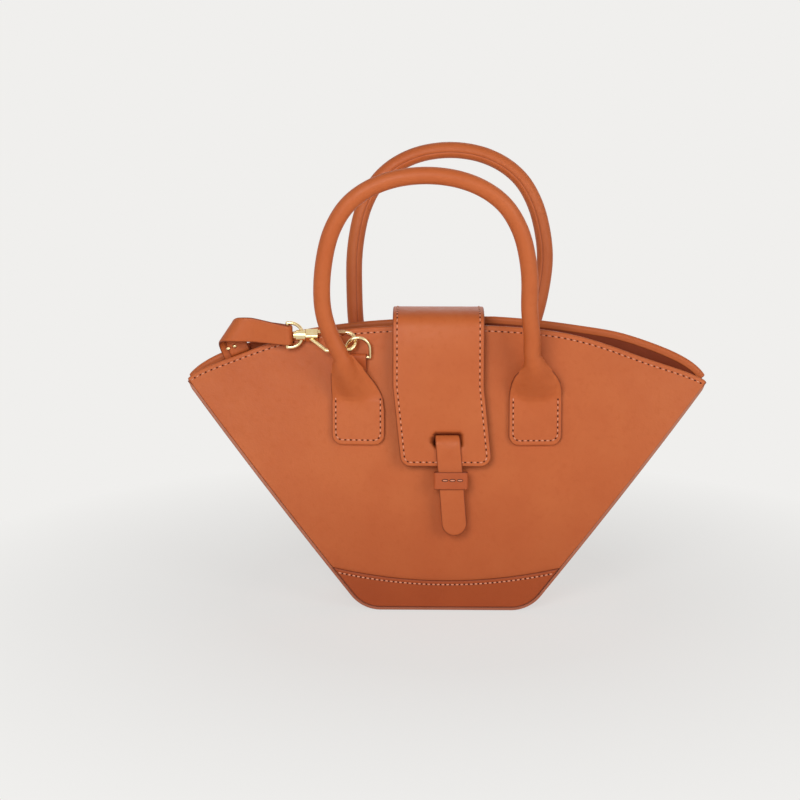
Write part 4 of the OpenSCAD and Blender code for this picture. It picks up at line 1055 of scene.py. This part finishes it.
def step_points(line, normals, pitch, offset):
    """Places every pitch along a line, with the directions along it and out of the leather."""
    run = distances(line)
    at = np.arange(pitch * (0.5 + offset), run[-1] - pitch * 0.4, pitch)
    along = unit(np.gradient(line, axis=0))
    place, along, out = (join(*(np.interp(at, run, axis) for axis in v.T)) for v in (line, along, normals))
    return place, unit(along), unit(out)


def lay_stitches(name, rows, body, material, size, offset):
    """One mesh for a body: grains on every row, each row being a line, its normals and its pitch.
    The size is a grain's length, width and height; the offset is in pitches."""
    parts = [step_points(*row, offset) for row in rows]
    points, along, up = (np.concatenate([p[k] for p in parts]) for k in range(3))
    mesh = bpy.data.meshes.new(name + "_points")
    mesh.from_pydata((points * MM).tolist(), [], [])
    for label, values in (("along", along), ("up", up)):
        mesh.attributes.new(label, "FLOAT_VECTOR", "POINT").data.foreach_set("vector", values.ravel())
    holder = show(name + "_points", mesh)
    modifier = holder.modifiers.new("stitches", "NODES")
    modifier.node_group = stitch_group
    sockets = {item.name: item.identifier for item in stitch_group.interface.items_tree
               if item.in_out == "INPUT"}
    modifier[sockets["Finish"]] = material
    for label, value in zip(("Length", "Width", "Height"), size):
        modifier[sockets[label]] = value * MM
    graph = bpy.context.evaluated_depsgraph_get()
    made = bpy.data.meshes.new_from_object(holder.evaluated_get(graph))
    made.name = name
    made.polygons.foreach_set("use_smooth", [True] * len(made.polygons))
    piece = show(name, made)
    bpy.data.objects.remove(holder)
    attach(piece, body)


def turned_row(line, normals, pitch):
    """The same row on the back."""
    return line * [-1, -1, 1], normals * [-1, -1, 1], pitch


def panel_rows(mouth):
    """Rows on the front: the hem under the top edge and the row along the base band."""
    u = np.linspace(-0.965, 0.965, 260)
    top = top_at(EDGE_IN, u)
    x, z = top[:, 0], top[:, 1] + mouth(top[:, 0]) - 3.1
    hem = (on_front(x, z, 0.12), face_normal(x, z), 3.6)
    corner = edge_right(EDGE_IN, np.array(base_reach(EDGE_IN)))
    reach = corner[0] + (BAND_END_Z - corner[1]) / math.tan(side_angle)
    x = np.linspace(-reach + 3, reach - 3, 160)
    z = BAND_MID_Z + (BAND_END_Z - BAND_MID_Z) * (x / reach) ** 2 - 2.3
    return [hem, (on_front(x, z, SKIN + 0.2), face_normal(x, z), 2.7)]


def tab_row(tab_x):
    """U-shaped row inside a tab's edges, starting beside the end of the roll."""
    half, low, r = TAB_W / 2 - 2.4, TAB_LOW_Z + 2.8, 3.8
    turn = np.linspace(0, math.pi / 2, 8)
    left = [(tab_x - half, z) for z in np.linspace(CREASE_Z + 2.2, low + r, 30)]
    left += [(tab_x - half + r - r * math.cos(a), low + r - r * math.sin(a)) for a in turn[1:]]
    right = [(2 * tab_x - x, z) for x, z in left[::-1]]
    x, z = np.array(left + right).T
    return on_front(x, z, TAB_LIFT + TAB_T + 0.1), face_normal(x, z), 3.2


def loop_rows():
    """Two short rows across the ring holder, below the ring."""
    rows = []
    for drop in (9.2, 12.4):
        x = RING_X + np.linspace(-LOOP_W / 2 + 1.2, LOOP_W / 2 - 1.2, 20)
        z = np.full_like(x, RING_Z - drop)
        rows.append((on_front(x, z, LOOP_LIFT + 2 * LOOP_T + 0.2), face_normal(x, z), 2.4))
    return rows


def flap_rows():
    """Row 2.5 mm inside the flap's edge, split where it passes from the anchor to the flap."""
    line = fill_loop(flap_line(2.5, 0), 0.8)
    where = flap_place(LEATHER_FROM + SKIN + 0.08)
    points = where(line, 0)
    normals = unit(where(line, 1) - points)
    s = -line[:, 1]
    parts = {}
    for label, chosen in (("bag", s < hinge_s - 1), ("flap", s > hinge_s + 3)):
        first = int(np.argmax(chosen & ~np.roll(chosen, 1)))
        order = np.roll(np.arange(len(line)), -first)
        order = order[chosen[order]]
        gap = np.where(np.linalg.norm(np.diff(points[order], axis=0), axis=1) > 4)[0]
        pieces = np.split(order, gap + 1)
        parts[label] = [(points[p], normals[p], 3.6) for p in pieces if len(p) > 6]
    return parts


# The object

def keep(piece, body, finish, *stands_for):
    """Rides on its body and stands for its nodes, which it hides; its finish argument is not used."""
    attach(piece, body)
    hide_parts(*stands_for)


TAN, SHADED = "tan_leather", "shaded_leather"
# the back's left tab opens as its right one does, mirrored
mirrored = RIGHT_SPREAD[:, [0, 2, 1, 3, 4]] * [1, -1, -1, -1, 1]
for side_name, turn, mouth, shape, left_spread, facing in (
        ("front", lambda p: p, front_mouth, FRONT_ARCH, LEFT_SPREAD, -1),
        ("back", turn_round, back_mouth, BACK_ARCH, mirrored, 1)):
    keep(turn(leather_panel(side_name + "_panel_leather", mouth)), "bag", TAN, side_name + "_panel")
    keep(turn(facing_strip(side_name + "_mouth_facing", mouth)), "bag", TAN, side_name + "_top_facing")
    keep(turn(panel_layer(side_name + "_panel_board", mouth, EDGE_IN + 1, SKIN + 0.1, 0.8, 0.5, 3, board)),
         "bag", "board", side_name + "_stiffener")
    keep(turn(panel_layer(side_name + "_panel_lining", mouth, EDGE_IN + 0.6, LINING_IN, LINING_T, 1.5,
                          FACING_H - 1, lining)), "bag", "lining", side_name + "_lining")
    keep(turn(base_band(side_name + "_base_band_leather")), "bag", TAN, side_name + "_base_band")
    keep(turn(seam_ridge(side_name + "_seam_ridge")), "bag", TAN, side_name + "_welt")
    keep(turn(ring_holder(side_name + "_ring_holder")), "bag", SHADED, side_name + "_ring_loop")
    handle = turn(rolled_handle(side_name + "_rolled_handle", *shape, (left_spread, RIGHT_SPREAD)))
    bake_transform(handle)
    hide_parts(side_name + "_handle", side_name + "_handle_tab_left",
                side_name + "_handle_tab_right")
    keep(turn(handle_filler(side_name + "_handle_cord", *shape)), side_name + "_handle", "core",
         side_name + "_handle_core")

for side_name, side in (("left", -1), ("right", 1)):
    keep(side_sheet("side_gusset_leather_" + side_name, side, 0, SKIN, 2.3, 2, calf),
         "bag", TAN, "side_gusset_" + side_name)
    keep(side_sheet("side_gusset_lining_" + side_name, side, SKIN + 0.1, LINING_T, PANEL_DEPTH, FACING_H,
                    lining), "bag", "lining", "gusset_lining_" + side_name)
keep(base_skin("base_leather"), "bag", TAN, "base_panel")
keep(floor_lining("base_lining_cloth"), "bag", "lining", "base_lining")

flap_leather = flap_layer("flap_leather", LEATHER_FROM, SKIN, 0, 0, calf)
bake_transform(flap_leather)
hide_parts("flap", "flap_anchor")
keep(flap_layer("flap_lining_cloth", 0.05, 0.75, 0.8, hinge_s + 4, lining), "flap", "lining", "flap_lining")
keep(tongue_strap("tongue_leather"), "flap", TAN, "tongue")
keep(tongue_loop("tongue_keeper_leather"), "flap", SHADED, "tongue_keeper")
keep(grid_sheet("shoulder_strap_leather", strap_rows(), STRAP_T, calf), "bag", TAN, "shoulder_strap")

FINISHES = {"pale_gold": gold, "plain_steel": steel, TAN: calf, SHADED: painted_shade_strip_calf, "lining": lining,
            "board": board, "core": cotton}
for part in frame["record"]["subparts"]:
    nodes[part["node"]].material_slots[0].material = FINISHES[part["material_slot"]]

plain_rows = loop_rows() + [tab_row(-TAB_SPAN / 2), tab_row(TAB_SPAN / 2)]
rows = panel_rows(front_mouth) + plain_rows + [turned_row(*r) for r in panel_rows(back_mouth) + plain_rows]
flap_parts = flap_rows()
keeper_front = keeper - [0, (TONGUE_T + 0.6) / 2 + 1.25, 0]
keeper_line = np.linspace(keeper_front - [5.4, 0, -0.6], keeper_front + [7.2, 0, 0.6], 8)
keeper_row = (keeper_line, np.repeat([[0, -1.0, 0]], 8, 0), 4.2)
stitch_group = stitch_tree()
for body, body_rows in (("bag", rows + flap_parts["bag"]), ("flap", flap_parts["flap"])):
    lay_stitches(body + "_stitches", body_rows, body, thread, (2.0, 0.85, 0.6), 0)
    lay_stitches(body + "_stitch_holes", body_rows, body, painted_shade_hole, (1.25, 1.0, 0.35), 0.5)
lay_stitches("keeper_stitches", [keeper_row], "flap", thread, (3.2, 1.0, 0.9), 0)
lay_stitches("keeper_stitch_slots", [keeper_row], "flap", painted_shade_hole, (4.1, 1.8, 0.4), 0)

# Floor, light and camera

PAPER = "#F0EFED"
PAPER_SIZE = 12        # metres from the bag to the paper's edges, so that none of them shows


def seen_directly(tree):
    """One for rays from the camera, from a mirror or through glass, none for those that carry light."""
    rays = add(tree, "ShaderNodeLightPath").outputs
    seen = reckon(tree, "MAXIMUM", rays["Is Camera Ray"], rays["Is Glossy Ray"])
    return reckon(tree, "MAXIMUM", seen, rays["Is Transmission Ray"])


floor_mesh = bpy.data.meshes.new("paper_floor")
corners = [(x * PAPER_SIZE, y * PAPER_SIZE, 0) for x, y in ((-1, -1), (1, -1), (1, 1), (-1, 1))]
floor_mesh.from_pydata(corners, [], [(0, 1, 2, 3)])
floor = show("paper_floor", floor_mesh)
# the paper takes the bag's shade close to it, and further off it is seen in its own colour
paper, paper_tree, place = shader_tree("matt_paper_backdrop")
matt = add(paper_tree, "ShaderNodeBsdfPrincipled", {"Base Color": linear(PAPER), "Roughness": 0.95})
plain = add(paper_tree, "ShaderNodeEmission", {"Color": linear(PAPER)})
away = add(paper_tree, "ShaderNodeVectorMath", {0: place}, operation="LENGTH").outputs["Value"]
far = spread(paper_tree, away, 0.12, 0.34, 0.7, 1)
share = reckon(paper_tree, "MULTIPLY", seen_directly(paper_tree), far)
blend = add(paper_tree, "ShaderNodeMixShader", {0: share, 1: matt, 2: plain})
add(paper_tree, "ShaderNodeOutputMaterial", {"Surface": blend})
floor_mesh.materials.append(paper)

world = bpy.data.worlds.new("pale_studio")
bpy.context.scene.world = world
world.use_nodes = True
sky = world.node_tree
sky.nodes.clear()
seen = seen_directly(sky)
# the light that fills the shade is strongest from the sides, and the camera sees the paper's colour
way = add(sky, "ShaderNodeTexCoord").outputs["Generated"]
up = add(sky, "ShaderNodeSeparateXYZ", {"Vector": way}).outputs["Z"]
light = spread(sky, up, 0, 0.8, 0.42, 0.08)
fill = add(sky, "ShaderNodeBackground", {"Color": (1, 1, 1, 1), "Strength": light})
shown = add(sky, "ShaderNodeBackground", {"Color": linear(PAPER), "Strength": 1.0})
blend = add(sky, "ShaderNodeMixShader", {0: seen, 1: fill, 2: shown})
add(sky, "ShaderNodeOutputWorld", {"Surface": blend})


def face_to(thing, aim):
    """Turns a lamp or the camera towards a place."""
    thing.rotation_euler = (Vector(aim) - thing.location).to_track_quat("-Z", "Y").to_euler()


def soft_box(name, place, aim, size, power):
    """Square studio lamp at a place, turned to aim."""
    lamp = bpy.data.lights.new(name, "AREA")
    lamp.shape, lamp.size, lamp.energy = "SQUARE", size, power
    holder = show(name, lamp)
    holder.location = place
    face_to(holder, aim)


soft_box("main_soft_box", (-0.28, -0.9, 0.56), (0, 0, 0.16), 0.45, 4.6)
soft_box("right_soft_box", (0.85, -0.9, 0.5), (0, 0, 0.14), 0.6, 4.2)
soft_box("back_soft_box", (0.3, 1.3, 0.6), (0, 0, 0.1), 0.9, 2.5)

lens = bpy.data.cameras.new("camera")
lens.lens, lens.sensor_width = 76.1, 36
lens.clip_start, lens.clip_end = 0.02, 60
camera = show("camera", lens)
camera.location = (-0.0124, -0.9548, 0.3152)
face_to(camera, (-0.0267, 0, 0.1178))
bpy.context.scene.camera = camera
bpy.context.scene.view_settings.view_transform = "Standard"
